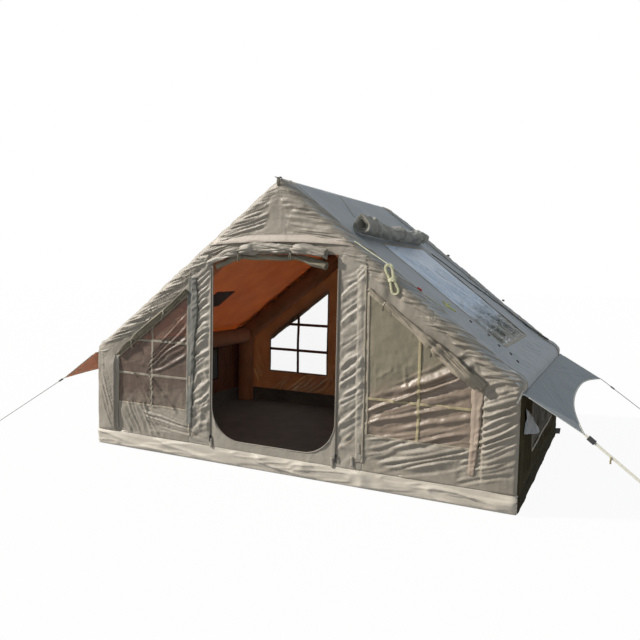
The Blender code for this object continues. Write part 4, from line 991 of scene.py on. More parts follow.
def door_surround():
    """The strips beside and under the doorway: a grid from the doorway's edge out to the next panels."""
    foot = DOOR_SILL + DOOR_CORNER
    left, right = DOOR_LEFT + DOOR_CORNER, DOOR_RIGHT - DOOR_CORNER
    pairs = [((DOOR_LEFT, z), (STRIP_LEFT, z)) for z in np.linspace(DOOR_TOP, foot, 150)[:-1]]
    for x, begin in ((left, pi), (right, 1.5 * pi)):
        for turn in np.linspace(begin, begin + pi / 2, 51)[:-1]:
            on_edge = x + DOOR_CORNER * cos(turn), foot + DOOR_CORNER * sin(turn)
            pairs.append((on_edge, ray_to_strips(x, foot, turn)))
        if x == left:
            pairs += [((x, DOOR_SILL), (x, TUB + GAP)) for x in np.linspace(left, right, 70)[:-1]]
    pairs += [((DOOR_RIGHT, z), (STRIP_RIGHT, z)) for z in np.linspace(foot, DOOR_TOP, 150)]
    inner, outer = np.array(pairs).transpose(1, 0, 2)
    across = np.linspace(0.0, 1.0, 30)[:, None]
    flat = inner * (1 - across[..., None]) + outer * across[..., None]
    x, z = flat[..., 0], flat[..., 1]
    head = np.minimum(DOOR_TOP, outline_top(x, EDGE_START))
    z = np.where(z > foot, foot + (z - foot) * (head - foot) / (DOOR_TOP - foot), z)
    free_edge = 0.004 * smooth(across, 0.72, 0.95) * smooth(z, 0.15, 0.25)
    lift = 0.0015 * bell(across, 0.010) + free_edge * (0.75 + 0.25 * noise(x * 4, z * 11, 53))
    made = patch(on_gable("front", x, z, lift)[::-1], joined(x, z)[::-1])
    sewn("door_surround_cloth", "door_surround_panel", made, PALE, RUST, "wall_cloth", ["front_gable_cloth"])


def rear_wall():
    """The rear gable with its two windows, in one piece."""
    inner, outer, sill, sleeve = REAR_WINDOW
    right = steps([0.0, inner, outer, WIDTH / 2 - EDGE_START], 0.012)
    xs = np.concatenate([-right[:0:-1], right])
    holes = [(1, inner, outer), (1, -outer, -inner)]
    made = gable_patch("rear", xs, wall_edges(xs, sill, sleeve), 0.012, holes)
    sewn("rear_wall_cloth", "rear_wall", made, KHAKI, RUST, "wall_cloth", ["rear_arch_sleeve"])


SIDE_FOLDS = (
    ((-0.98, 0.64, -0.86, 0.14), (-0.58, 0.64, -0.62, 0.14), 7, 0.012, 91),
    ((-0.60, 0.24, -0.50, 0.12), (0.60, 0.24, 0.66, 0.12), 12, 0.010, 92),
    ((0.58, 0.64, 0.62, 0.14), (0.98, 0.64, 0.90, 0.14), 7, 0.012, 93),
    ((-0.50, 0.52, -0.20, 0.28), (0.30, 0.54, 0.52, 0.28), 6, 0.008, 95),
)


def side_relief(side, y, z):
    """Slow buckles and folds of a side wall, calm at its seams."""
    calm = smooth(DEPTH / 2 - np.abs(y), 0.02, 0.08) * smooth(z, 0.11, 0.14) * smooth(LIP_Z - z, 0.0, 0.02)
    slow = 0.006 * noise(y * 3.0 + side, z * 4.0, 90) + 0.0014 * crumple(y * 1.6, z * 1.6, 94)
    return calm * (slow + creases(y * side, z, SIDE_FOLDS))


def outside_of(columns, rows, window):
    """Which cells of a grid lie outside a window, given by its ends along the columns and along the rows."""
    left, right, low, high = window
    across, down = (columns[1:] + columns[:-1]) / 2, (rows[1:] + rows[:-1]) / 2
    return ~(((across > left) & (across < right))[None, :] & ((down > low) & (down < high))[:, None])


def side_walls():
    """Side walls, with their window and their rounded corners, from the tub's edge to the roof's lip."""
    ys = np.unique(np.round(np.concatenate([rounded_ends(0.012), SIDE_WINDOW[:2]]), 6))
    zs = steps([TUB + GAP, *SIDE_WINDOW[2:], LIP_Z - GAP], 0.012)
    y, z = np.meshgrid(ys, zs)
    for side, name in ((-1, "left"), (1, "right")):
        grid = joined(side * (WIDTH / 2 + side_relief(side, y, z) - edge_depth(y)), y, z)
        made = patch(grid, joined(y, z), outside_of(ys, zs, SIDE_WINDOW), side < 0)
        under = [f"{name}_eave_sleeve"]
        sewn(f"{name}_wall_cloth", f"{name}_wall", made, DARK_SHADED_WALL, LINING, "wall_cloth", under)


ROOF_FOLDS = (
    ((-0.90, 0.10, -0.70, 0.16), (-0.90, 1.72, -0.68, 1.62), 20, 0.004, 121),
    ((0.90, 0.10, 0.70, 0.16), (0.90, 1.72, 0.68, 1.62), 20, 0.004, 122),
    ((-0.80, 1.86, -0.76, 1.70), (0.80, 1.86, 0.78, 1.70), 13, 0.005, 123),
    ((-0.66, 1.40, -0.44, 1.44), (-0.70, 1.78, -0.40, 1.66), 7, 0.006, 126),
    ((-0.30, 1.68, -0.36, 1.80), (0.50, 1.68, 0.60, 1.80), 9, 0.005, 127),
)


def roof_sag(y, v):
    """The roof cloth hangs a little between the arches, the ridge and the eave."""
    free = smooth(DEPTH / 2 - np.abs(y), 0.05, 0.32) * smooth(v, 0.04, 0.30)
    return -0.010 * (free * smooth(ROOF_FLAT + 0.02 - v, 0.0, 0.28))


def roof_relief(side, y, v):
    """Sag, slow buckles and short gathers along the gables, calm at the ridge and at the eave's seam."""
    inside = DEPTH / 2 - np.abs(y)
    calm = smooth(inside, 0.005, 0.04) * smooth(v, 0.0, 0.05) * smooth(ROOF_FLAT + ROOF_ARC - v, 0.0, 0.05)
    slow = 0.004 * noise(y * 3.0 + side, v * 3.0, 120) + 0.0015 * noise(y * 9.0, v * 9.0, 124)
    slow = slow + 0.012 * bell(v - ROOF_FLAT + 0.01, 0.06) + 0.012 * bell(inside - 0.085, 0.055)
    return calm * (slow + 0.0010 * crumple(y, v, 125) + creases(y, v, ROOF_FOLDS)) + roof_sag(y, v)


def roofs():
    """Roof sheets: even in the middle, rounded over the arches at the gables and over the eave tube."""
    front, rear, upper, lower = SKYLIGHT
    ys = np.unique(np.round(np.concatenate([rounded_ends(0.014), [front, rear]]), 6))
    eave = ROOF_FLAT + ROOF_ARC * np.linspace(0.0, 1.0, 11)
    for side, name in ((-1, "left"), (1, "right")):
        marks = [0.0, upper, lower, ROOF_FLAT] if side > 0 else [0.0, 0.5, ROOF_FLAT]
        vs = np.concatenate([steps(marks, 0.014)[:-1], eave, [ROOF_FLAT + ROOF_ARC + EAVE_Z - LIP_Z]])
        y, v = np.meshgrid(ys, vs)
        grid = roof_point(side, y, v, edge_depth(y) - roof_relief(side, y, v))
        made = patch(grid, joined(y, v), outside_of(ys, vs, SKYLIGHT) if side > 0 else None, side > 0)
        under = ["ridge_sleeve", f"{name}_eave_sleeve"]
        sewn(f"{name}_roof_cloth", f"{name}_roof", made, SKY_SHADED_ROOF, RUST, "roof_cloth", under)


WRAP_DOWN, WRAP_BACK = 0.10, 0.145


def gathers(v, d, skew, seed):
    """Gathers that cross an edge slantwise: bell-shaped folds, each with its own height and ends."""
    pick = np.random.default_rng(seed)
    place = v - skew * d + 0.010 * noise(v * 5, d * 6 + 3, seed + 7)
    total = np.zeros_like(place)
    middle = -0.2
    while middle < 2.3:
        middle += pick.uniform(0.022, 0.050)
        wide = pick.uniform(0.008, 0.015)
        off = place - middle - pick.uniform(-0.25, 0.25) * d
        begin, stop = pick.uniform(-0.16, -0.04), pick.uniform(0.05, 0.16)
        crest = bell(off, np.where(off < 0, wide, 0.7 * wide))
        crest = pick.uniform(0.4, 1.1) * crest * smooth(d, begin, begin + 0.05)
        total += crest * (1 - smooth(d, stop - 0.06, stop))
    return total - 0.35


def rafter_wraps():
    """The gables' cloth drawn over the arch tubes on to the roof: down the face, round the edge and back."""
    turn = np.linspace(0.0, pi / 2, 12)
    down = np.linspace(WRAP_DOWN, EDGE_ROUND, 14)[:-1]
    back = np.linspace(EDGE_ROUND, WRAP_BACK, 20)[1:]
    inward = np.concatenate([0 * down, EDGE_ROUND * (1 - np.cos(turn)), back])[:, None]
    depth = np.concatenate([down, EDGE_ROUND * (1 - np.sin(turn)), 0 * back])[:, None]
    facing = np.concatenate([0 * down, turn, 0 * back + pi / 2])[:, None]
    place = np.concatenate([-down, EDGE_ROUND * (2 * turn / pi * 2 - 1), back])[:, None]
    v = np.linspace(0.0, ROOF_FLAT + ROOF_ARC * 0.85, 540)[None, :]
    v = depth * tan(SLOPE) + v * (1 - depth * tan(SLOPE) / v.max())
    inward, depth, facing, place, v = np.broadcast_arrays(inward, depth, facing, place, v)
    shown = smooth(place, -WRAP_DOWN, -0.045) * (1 - 0.75 * smooth(place, WRAP_BACK - 0.04, WRAP_BACK))
    shown = shown * smooth(v, 0.02, 0.12) * (1 - smooth(v, ROOF_FLAT, ROOF_FLAT + ROOF_ARC * 0.8))
    for face, (end, relief) in FACES.items():
        height = 0.010 if face == "front" else 0.006
        halves = []
        for side, name in ((-1, "left"), (1, "right")):
            y = end * (DEPTH / 2 - inward)
            flat = roof_point(side, y, v, depth)
            folds = gathers(v, place, 1.5 if side > 0 else 2.4, 450 + 3 * side)
            lift = 0.0014 - 0.0026 * (1 - smooth(place, -WRAP_DOWN, -0.07)) + height * shown * folds
            lift = lift + relief(flat[..., 0], flat[..., 2]) * np.cos(facing) ** 2
            lift = lift + roof_relief(side, y, v) * np.sin(facing) ** 2
            turned = side * end > 0
            grid = roof_point(side, y + end * np.cos(facing) * lift, v, depth - np.sin(facing) * lift)
            grid, uv, keep = patch(grid, turned=turned)
            halves.append((grid, uv - (uv[..., 0].max() * turned, 0.0), keep))
            seam = roof_point(side, y[-1], v[-1], -lift[-1] - 0.0002)
            out = roof_point(side, y[-1], v[-1], -0.01) - roof_point(side, y[-1], v[-1], 0.0)
            ribbon(f"{face}_{name}_edge_seam", seam, out, 0.010, 0.0022, BINDING, crown=0.001)
        obj = cloth(f"{face}_edge_wrap", halves, KHAKI, KHAKI, thick=0.0012)
        declare(halves)


def groundsheet():
    """The tub: a pale wall round the floor, standing on the ground, and the floor cloth inside it."""
    x, y = WIDTH / 2 - EDGE_ROUND, DEPTH / 2 - EDGE_ROUND
    corners = []
    for cx, cy, begin in ((x, -y, -pi / 2), (x, y, 0.0), (-x, y, pi / 2), (-x, -y, pi)):
        turn = begin + np.linspace(0.0, pi / 2, 13)
        corners.append(joined(cx + EDGE_ROUND * np.cos(turn), cy + EDGE_ROUND * np.sin(turn)))
    loop = []
    for here, after in zip(corners, corners[1:] + corners[:1]):
        loop.append(here[:-1])
        a, b = here[-1], after[0]
        count = int(np.linalg.norm(b - a) / 0.010)
        loop.append(a + (b - a) * (np.arange(count) / count)[:, None])
    loop = np.concatenate(loop)
    loop = np.roll(loop, -int(np.argmin(np.abs(loop[:, 0]) - loop[:, 1])), axis=0)
    loop = np.concatenate([loop, loop[:1]])
    along = lengths(loop)
    ways = unit(np.gradient(loop, axis=0))
    out = joined(ways[:, 1], -ways[:, 0])
    foot, lip = [0.0015, 0.004, 0.009], [TUB + 0.001, TUB + 0.010]
    s, h = np.meshgrid(along, np.concatenate([foot, np.linspace(0.014, TUB, 18), lip]))
    swell = 0.004 * noise(s * 4, h * 9, 139) + 0.003 * np.sin(pi * h / TUB)
    swell = swell + 0.011 * ridge(s * 2.6, h * 16 + 2 * s, 140) + 0.006 * ridge(s * 5.0, h * 34 - 3 * s, 142)
    swell = swell * smooth(h, 0.0, 0.02) * smooth(TUB - h, 0.0, 0.02)
    swell = swell * (0.4 + 0.6 * smooth(-out[:, 1], 0.0, 1.0))
    seam = smooth(s, 0.0, 0.05) * smooth(along[-1] - s, 0.0, 0.05)
    lift = swell * seam - 0.010 * np.exp(-h / 0.006) - 0.0024 * smooth(h, TUB - 0.0005, TUB + 0.001)
    grid = joined(loop[:, 0] + out[:, 0] * lift, loop[:, 1] + out[:, 1] * lift, h)
    wall = patch(grid, joined(s, h))
    x, y = WIDTH / 2 - 0.01, DEPTH / 2 - 0.01
    x, y = np.meshgrid(np.linspace(-x, x, 100), np.linspace(-y, y, 70))
    z = 0.0040 + 0.0008 * noise(x * 6, y * 6, 141)
    floor = patch(joined(x, y, z), joined(x, y))
    tub = cloth("tub_wall", [wall], SKIRT, FLOOR_CLOTH)
    tub.data.materials.append(SHADED_SKIRT)
    for face in tub.data.polygons:
        if face.material_index == 0 and face.center.x > WIDTH / 2 - 0.006:
            face.material_index = 2
    bed = cloth("floor_sheet", [floor], FLOOR_CLOTH, FLOOR_CLOTH)
    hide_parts("groundsheet")


def awnings():
    """Sheets sewn on at the eave and held out by the ropes at their two tips, slack between them."""
    start_turn = (pi / 2 - SLOPE) * AWNING_SEAM
    start_x = EAVE_X + (EAVE_RADIUS + 0.002) * cos(start_turn)
    start_z = EAVE_Z + (EAVE_RADIUS + 0.002) * sin(start_turn)
    for side, name in ((-1, "left_awning"), (1, "right_awning")):
        u, v = np.meshgrid(np.linspace(-1.0, 1.0, 121), np.linspace(0.0, 1.0, 33))
        y = AWNING_TIP[1] * u
        edge = 1.70 + (AWNING_TIP[0] - 1.70) * np.abs(u) ** 2.4
        x = start_x + (edge - start_x) * v
        fall = (start_z - TIP_HEIGHT[side]) / (AWNING_TIP[0] - start_x)
        folds = (
            ((0.99, 0.99, 0.45, 0.05), (0.80, 0.99, -0.10, 0.10), 4, 0.004, 161),
            ((-0.99, 0.99, -0.45, 0.05), (-0.80, 0.99, 0.10, 0.10), 4, 0.004, 162),
        )
        droop = 0.012 * (1 - u * u) * v * v
        lift = creases(u, v, folds) + 0.003 * noise(u * 5, v * 3, 161 + side) * v * (1 - np.abs(u) ** 6)
        z = start_z - fall * (x - start_x) - droop + lift * smooth(v, 0.0, 0.2)
        grid = joined(side * x, y, z)
        made = patch(grid, turned=side > 0)
        under = [f"{name[:-7]}_roof_cloth"]
        sewn(f"{name}_cloth", name, made, SKY_SHADED_AWNING, RUST, "roof_cloth", under, 0.0018, "hung")
        rims = (("front_rim", grid[3:, 0]), ("rear_rim", grid[3:, -1]), ("outer_rim", grid[-1]))
        for part, line in rims:
            ribbon(f"{name}_{part}", line, (side * 0.5, 0.0, 0.87), 0.010, 0.0012, STRAP)


def bend(before, corner, after, radius, count):
    """Points of the arc of that radius that rounds a corner between two straight runs."""
    first, second = (corner - before).normalized(), (after - corner).normalized()
    turn = first.angle(second)
    start = corner - first * radius * tan(turn / 2)
    inward = (second - first * first.dot(second)).normalized()
    centre = start + inward * radius
    turns = [turn * k / count for k in range(count + 1)]
    return [centre - inward * radius * cos(t) + first * radius * sin(t) for t in turns]


def air_frame():
    """Air tubes in their sleeves: full round tubes with slow ripples and small dents along them."""
    leg_x = WIDTH / 2 - TUBE_DEPTH
    arch_y = DEPTH / 2 - TUBE_DEPTH
    apex = Vector((0.0, 0.0, float(rafter(0.0, TUBE_DEPTH))))
    knee = {s: Vector((s * leg_x, 0.0, float(rafter(leg_x, TUBE_DEPTH)))) for s in (-1, 1)}
    foot = {s: Vector((s * leg_x, 0.0, 0.0045)) for s in (-1, 1)}
    runs = [foot[-1], *bend(foot[-1], knee[-1], apex, 0.20, 12), *bend(knee[-1], apex, knee[1], 0.13, 12),
            *bend(apex, knee[1], foot[1], 0.20, 12), foot[1]]
    for name, y in (("front_arch", -arch_y), ("rear_arch", arch_y)):
        path = even_path([p + Vector((0.0, y, 0.0)) for p in runs], 300)
        make_air_tube(name, path, 170 if y < 0 else 171)
    end = arch_y - TUBE_RADIUS - GAP
    crown = bend(knee[-1], apex, knee[1], 0.13, 6)[3]
    make_air_tube("ridge", even_path([Vector((0, -end, crown.z)), Vector((0, end, crown.z))], 100), 172)
    for side, name in ((-1, "left_eave"), (1, "right_eave")):
        arc = bend(foot[side], knee[side], apex, 0.20, 6)[3]
        path = even_path([Vector((arc.x, -end, arc.z)), Vector((arc.x, end, arc.z))], 100)
        make_air_tube(name, path, 173 + side)


def even_path(points, count):
    """The same line, with its points spaced evenly."""
    points = np.array([tuple(p) for p in points])
    along = lengths(points)
    at = np.linspace(0.0, along[-1], count)
    return joined(*(np.interp(at, along, line) for line in points.T))


def make_air_tube(name, path, seed):
    """One air tube in its sleeve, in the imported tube's place."""
    sides = 36
    turn = np.linspace(0.0, 2 * pi, sides, endpoint=False)
    s, a = np.meshgrid(lengths(path), turn, indexing="ij")
    around = 0.6 * np.cos(a), 0.6 * np.sin(a)
    radius = TUBE_RADIUS - 0.0018 + 0.0014 * noise(s * 9 + around[0], around[1] * 4 + s, seed)
    radius = radius - 0.0012 * np.abs(noise(s * 30 + 2 * around[0], around[1] * 6, seed + 50))
    obj = tube(f"{name}_sleeve", path, radius, SLEEVE, sides)
    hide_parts(f"{name}_tube")


# Windows


def film_grid(corners, count):
    """A flat grid inside four corners, given counter-clockwise from the lower left, seen from outside."""
    a, b, c, d = (np.array(p, dtype=float) for p in corners)
    u, v = np.meshgrid(np.linspace(0.0, 1.0, count[0]), np.linspace(0.0, 1.0, count[1]))
    u, v = u[..., None], v[..., None]
    return a * (1 - u) * (1 - v) + b * u * (1 - v) + c * u * v + d * (1 - u) * v


def seam_path(knots, pitch=0.008):
    """The straight runs between knots, with points at an even pitch."""
    knots = np.asarray(knots, dtype=float)
    parts = []
    for a, b in zip(knots, knots[1:]):
        count = max(2, int(np.linalg.norm(b - a) / pitch))
        parts.append(a + (b - a) * (np.arange(count) / count)[:, None])
    return np.concatenate(parts + [knots[-1:]])


def gable_ribbon(name, face, knots, width, material, lift=0.0006, thick=0.0012, crown=0.0):
    """A strip sewn on a gable: it follows the folds under it. A pair of widths is its width at either end."""
    flat = seam_path(knots)
    if isinstance(width, tuple):
        width = np.linspace(*width, len(flat))
    path = on_gable(face, flat[:, 0], flat[:, 1], lift)
    out = (0.0, -1.0, 0.0) if face == "front" else (0.0, 1.0, 0.0)
    return ribbon(name, path, out, width, thick, material, crown=crown)


def gable_band(name, knots, widths, material, seed, lift, buckle, edge=0.0, bridge=0.0):
    """A band of cloth sewn on the front: it follows the folds over its whole width and buckles by itself. Its
    right edge stands proud by edge, with a free hem. Bridge is how much of the folds' hollows it spans."""
    flat = smooth_line(knots, max(12, int(path_length([Vector((*k, 0.0)) for k in knots]) / 0.006)))
    ways = unit(np.gradient(flat, axis=0))
    share = np.linspace(0.0, 1.0, len(flat))
    width = np.interp(share, np.linspace(0.0, 1.0, len(widths)), widths)
    aside = np.linspace(-0.5, 0.5, 17)
    sideways = joined(-ways[:, 1], ways[:, 0])
    ragged = 0.05 * noise(share * 22, share * 0 + 1, seed + 3)[:, None] * np.sign(aside)
    place = flat[:, None] + sideways[:, None] * ((aside + ragged) * width[:, None])[..., None]
    x, z = place[..., 0], place[..., 1]
    ends = (smooth(share, 0.0, 0.05) * (1 - smooth(share, 0.95, 1.0)))[:, None]
    inner = np.cos(pi * aside) ** 0.5
    waves = 0.4 + 0.6 * noise(z * 13 + 3 * x, x * 9, seed) + 0.7 * ridge(z * 9 - 8 * x, x * 6, seed + 1)
    relief = front_relief(x, z)
    crest = np.max([np.roll(relief, k, axis=0) for k in range(-5, 6)], axis=0)
    crest = np.mean([np.roll(crest, k, axis=0) for k in range(-5, 6)], axis=0)
    rise = lift * np.minimum(1.0, 2.2 * inner) + edge * smooth(aside, 0.15, 0.45) * ends
    rise = rise + buckle * ends * inner * waves + bridge * ends * np.maximum(crest - relief, 0.0)
    grid = on_gable("front", x, z, rise)
    if np.cross(grid[1, 0] - grid[0, 0], grid[0, 1] - grid[0, 0])[1] > 0:
        grid, place = grid[:, ::-1], place[:, ::-1]
    return cloth(name, [patch(grid, place)], material, material, thick=0.0014)


def gable_film(name, side, face, window, film):
    """Film in a gable's window: it goes along with the folds of the wall, and dents a little by itself."""
    inner, outer, sill, sleeve = window
    low, high = sill - FILM_LAP, sleeve - FILM_LAP
    near, far = inner - FILM_LAP, outer + FILM_LAP
    right = [(near, low), (far, low), (far, float(rafter(far, high))), (near, float(rafter(near, high)))]
    corners = right if side > 0 else [(-x, z) for x, z in (right[1], right[0], right[3], right[2])]
    flat = film_grid(corners, (110, 100))
    x, z = flat[..., 0], flat[..., 1]
    edge = np.minimum(np.minimum(np.abs(x) - near, far - np.abs(x)), np.minimum(z - low, rafter(x, high) - z))
    dents = 0.004 * noise(x * 7 + z * 3, z * 6 - x * 2, 200) + 0.0012 * crumple(x, z, 201)
    grid = on_gable(face, x, z, smooth(edge, 0.0, 0.05) * dents - FILM_BEHIND)
    under = "rear_wall_cloth" if face == "rear" else f"{name}_panel_cloth"
    made = patch(grid, flat, turned=face == "rear")
    sewn(f"{name}_window", f"{name}_film", made, film, film, "window_film", [under], FILM)


def tape_runs(side, window, upright, bars):
    """The upright tape's run in a gable's window, and its cross tapes' runs."""
    inner, outer, sill, sleeve = window
    runs = [[(side * upright, sill), (side * upright, float(rafter(upright, sleeve)))]]
    for z in bars:
        reach = min(outer, (RIDGE - sleeve / cos(SLOPE) - z) / tan(SLOPE))
        runs.append([(side * inner, z), (side * reach, z)])
    return runs


def window_tapes(name, side, face, window, upright, bars, material):
    """One upright tape and its bars, sewn over the film, and a binding round the window's edge."""
    inner, outer, sill, sleeve = window
    stand, *cross = tape_runs(side, window, upright, bars)
    post = gable_ribbon(f"{name}_upright_tape", face, stand, 0.017, material)
    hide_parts(f"{name}_tapes")
    for k, run in enumerate(cross):
        gable_ribbon(f"{name}_cross_tape_{k}", face, run, 0.016, material, lift=0.0004)
    head = [(side * inner, float(rafter(inner, sleeve))), (side * outer, float(rafter(outer, sleeve)))]
    rim = [head[0], (side * inner, sill), (side * outer, sill), head[1]]
    hems = (("", rim[:2], 0.016, 0.0010), ("sill_", rim[1:3], 0.014, 0.0008),
            ("side_", rim[2:], 0.016, 0.0010), ("head_", head, 0.018, 0.0012))
    for part, run, width, lift in hems:
        gable_ribbon(f"{name}_window_{part}hem", face, run, width, BINDING, lift=lift)


REAR_TAPES = (0.88, (0.52, 0.77))
FRONT_TAPES = {-1: (0.985, (0.545, 0.785)), 1: (0.93, (0.55,))}


def rear_inner_tapes(side, name):
    """The rear window's tapes as the inside shows them: strips of the lining, behind the film."""
    for k, run in enumerate(tape_runs(side, REAR_WINDOW, *REAR_TAPES)):
        flat = seam_path(run)
        path = on_gable("rear", flat[:, 0], flat[:, 1], -0.0042 - 0.0004 * (k > 0))
        ribbon(f"rear_{name}_inner_tape_{k}", path, (0.0, -1.0, 0.0), 0.026, 0.0012, LINING)


def windows():
    """Films, tapes and hems of the two gables and the two side walls."""
    for side, name in ((-1, "left"), (1, "right")):
        film, tape = (LEFT_FILM, GREY_TAPE) if side < 0 else (RIGHT_FILM, TAPE)
        gable_film(f"front_{name}", side, "front", FRONT_WINDOW[side], film)
        window_tapes(f"front_{name}", side, "front", FRONT_WINDOW[side], *FRONT_TAPES[side], tape)
        gable_film(f"rear_{name}", side, "rear", REAR_WINDOW, CLEAR_FILM)
        window_tapes(f"rear_{name}", side, "rear", REAR_WINDOW, *REAR_TAPES, TAPE)
        rear_inner_tapes(side, name)
        side_film(side, name)


def side_film(side, name):
    """Film in a side wall, a little slack."""
    front, rear, low, high = SIDE_WINDOW
    lap = FILM_LAP / 2
    y, z = np.meshgrid(np.linspace(front - lap, rear + lap, 120), np.linspace(low - lap, high + lap, 36))
    slack = 0.003 * noise(y * 6, z * 7, 220 + side) * smooth(rear + lap - np.abs(y), 0.0, 0.05)
    grid = joined(side * (WIDTH / 2 + side_relief(side, y, z) + slack - FILM_BEHIND), y, z)
    made = patch(grid, joined(y, z), turned=side < 0)
    film = f"{name}_side_window", f"{name}_side_film"
    sewn(*film, made, SHADED_FILM, SHADED_FILM, "window_film", [f"{name}_wall_cloth"], FILM)
    corners = [(front, low), (rear, low), (rear, high), (front, high), (front, low)]
    for k, ends in enumerate(zip(corners, corners[1:])):
        y, z = seam_path(ends)[:None if k == 3 else -1].T
        path = joined(side * (WIDTH / 2 + side_relief(side, y, z) + 0.0006), y, z)
        hem = f"{name}_side_window_hem_{k}"
        ribbon(hem, path, (side, 0.0, 0.0), 0.018, 0.0012, BINDING)


def skylight():
    """The roof's film, sagging between its hems, with long slack creases towards its lower front corner."""
    front, rear, upper, lower = SKYLIGHT
    ys = np.linspace(front - FILM_LAP, rear + FILM_LAP, 170)
    y, v = np.meshgrid(ys, np.linspace(upper - FILM_LAP, lower + FILM_LAP, 170))
    edge = np.minimum(np.minimum(y - front, rear - y), np.minimum(v - upper, lower - v)) + FILM_LAP
    folds = (
        ((-0.56, 0.62, -0.10, 1.70), (-0.20, 0.62, 0.50, 1.68), 7, 0.010, 231),
        ((-0.40, 0.95, 0.20, 1.72), (0.30, 0.80, 0.59, 1.40), 8, 0.010, 232),
        ((-0.56, 1.20, -0.40, 1.72), (-0.30, 1.10, 0.10, 1.72), 4, 0.009, 233),
    )
    slack = 0.006 * noise(y * 4 + v * 3, v * 5, 234) + 0.003 * crumple(y * 0.6, v * 0.6, 235)
    out = roof_sag(y, v) - FILM_BEHIND + smooth(edge, 0.0, 0.07) * (slack + creases(y, v, folds))
    made = patch(roof_point(1, y, v, -out), joined(y, v), turned=True)
    film = "skylight_window", "skylight_film"
    sewn(*film, made, SKYLIGHT_FILM, SKYLIGHT_FILM, "window_film", ["right_roof_cloth"], FILM)
    corners = [(front, upper), (rear, upper), (rear, lower), (front, lower), (front, upper)]
    for k, ends in enumerate(zip(corners, corners[1:])):
        roof_ribbon(f"skylight_hem_{k}", 1, ends, 0.020, BINDING)


def roof_ribbon(name, side, knots, width, material, lift=0.0006, thick=0.0012):
    """A strip sewn on a roof sheet, along knots given as y and v."""
    flat = seam_path(knots, 0.012)
    y, v = flat[:, 0], flat[:, 1]
    out = roof_relief(side, y, v) - edge_depth(y)
    path = roof_point(side, y, v, -out - lift)
    normals = roof_point(side, y, v, -0.01) - roof_point(side, y, v, 0.0)
    return ribbon(name, path, normals, width, thick, material)


# Rolls

# Rings inside a roll's open end: how deep each lies in a roll of this radius, and its share of the radius
MOUTH_RADIUS = 0.03
MOUTH = (
    (0.040, 0.30), (0.004, 0.50), (0.0, 0.56), (0.004, 0.62),
    (0.005, 0.70), (0.0, 0.76), (0.002, 0.88), (0.0, 0.96),
)


def rolled(name, path, radii, away, material, seed, ties, wrinkle, lean=0.4):
    """Cloth rolled up on a surface. Rings along the path swell in lobes, pinch at the ties and crumple; the
    cloth's free edge makes a step that winds along the roll; both ends are open and show the layers inside.
    Gives back the place and the radius at each tie."""
    along = lengths(path)
    count = int(along[-1] / 0.0045)
    at = np.linspace(0.0, along[-1], count)
    path = even_path(path, count)
    padded = np.pad(path, ((4, 4), (0, 0)), "edge")
    soft = joined(*(np.convolve(line, np.ones(9) / 9, "valid") for line in padded.T))
    ease = smooth(np.minimum(at, at[-1] - at), 0.0, 0.04)[:, None]
    path, ways, across, up = frames_along(path * (1 - ease) + soft * ease)
    size = np.interp(at, along, radii)
    turn = np.linspace(0.0, 2 * pi, 84, endpoint=False)
    s, a = np.meshgrid(at, turn, indexing="ij")
    wind = lean + 2.0 * s / at[-1]
    swell = np.zeros_like(at)
    for tie in ties:
        off = np.abs(at - tie * at[-1])
        swell += 0.04 * bell(off - 0.040, 0.022) - 0.17 * bell(off, 0.016)
    lumps = noise(s * 13 + 1.1 * np.cos(a), 2.2 * np.sin(a) + s * 7, seed)
    folds = np.zeros_like(s)
    pick = np.random.default_rng(seed)
    for _ in range(int(110 * at[-1])):
        centre, length = pick.uniform(0.0, at[-1]), pick.uniform(0.03, 0.11)
        around = pick.uniform(0.0, 2 * pi) + pick.uniform(-6.0, 6.0) * (s - centre)
        off = np.angle(np.exp(1j * (a - around)))
        sharp = pick.uniform() < 0.45
        wide = pick.uniform(0.09, 0.15) if sharp else pick.uniform(0.2, 0.4)
        tall = (-1.3 if sharp else 1.0) * pick.uniform(0.5, 1.1)
        folds += tall * bell(off, wide) * bell(s - centre, length)
    edge = 0.07 * (((a - 1.2 * (wind - lean) - lean) / (2 * pi)) % 1.0) - 0.035
    uneven = 1 + swell[:, None] + edge + wrinkle * (0.5 * lumps + 0.6 * folds)
    radius = size[:, None] * (1 + 0.10 * np.cos(3 * a + wind)) * uneven
    offset = radius[..., None] * spokes(across, up, turn)
    away = np.asarray(away, float)
    middle = path + away * (GAP - (offset @ away).min(axis=1))[:, None]

    def mouth(i, inward):
        """Rings that turn in at an open end and go down between its layers, the deepest first."""
        into = inward * size[i]
        return [middle[i] + offset[i] * share + into * deep / MOUTH_RADIUS for deep, share in MOUTH]

    rings = np.concatenate([mouth(0, ways[0]), middle[:, None] + offset, mouth(-1, -ways[-1])[::-1]])
    middles = rings[[0, -1]].mean(axis=1)
    reach = np.pad(at, len(MOUTH), "edge")
    obj = capped(name, rings, middles, reach, turn * float(size.mean()), material)
    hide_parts(f"{name}_roll")
    tied = [int(round(tie * (count - 1))) for tie in ties]
    for k, i in enumerate(tied):
        hoop(f"{name}_tie_{k}", middle[i], ways[i], size[i] * 0.80, 0.011, 0.0016, STRAP_DARK)
    return [(middle[i], size[i]) for i in tied]


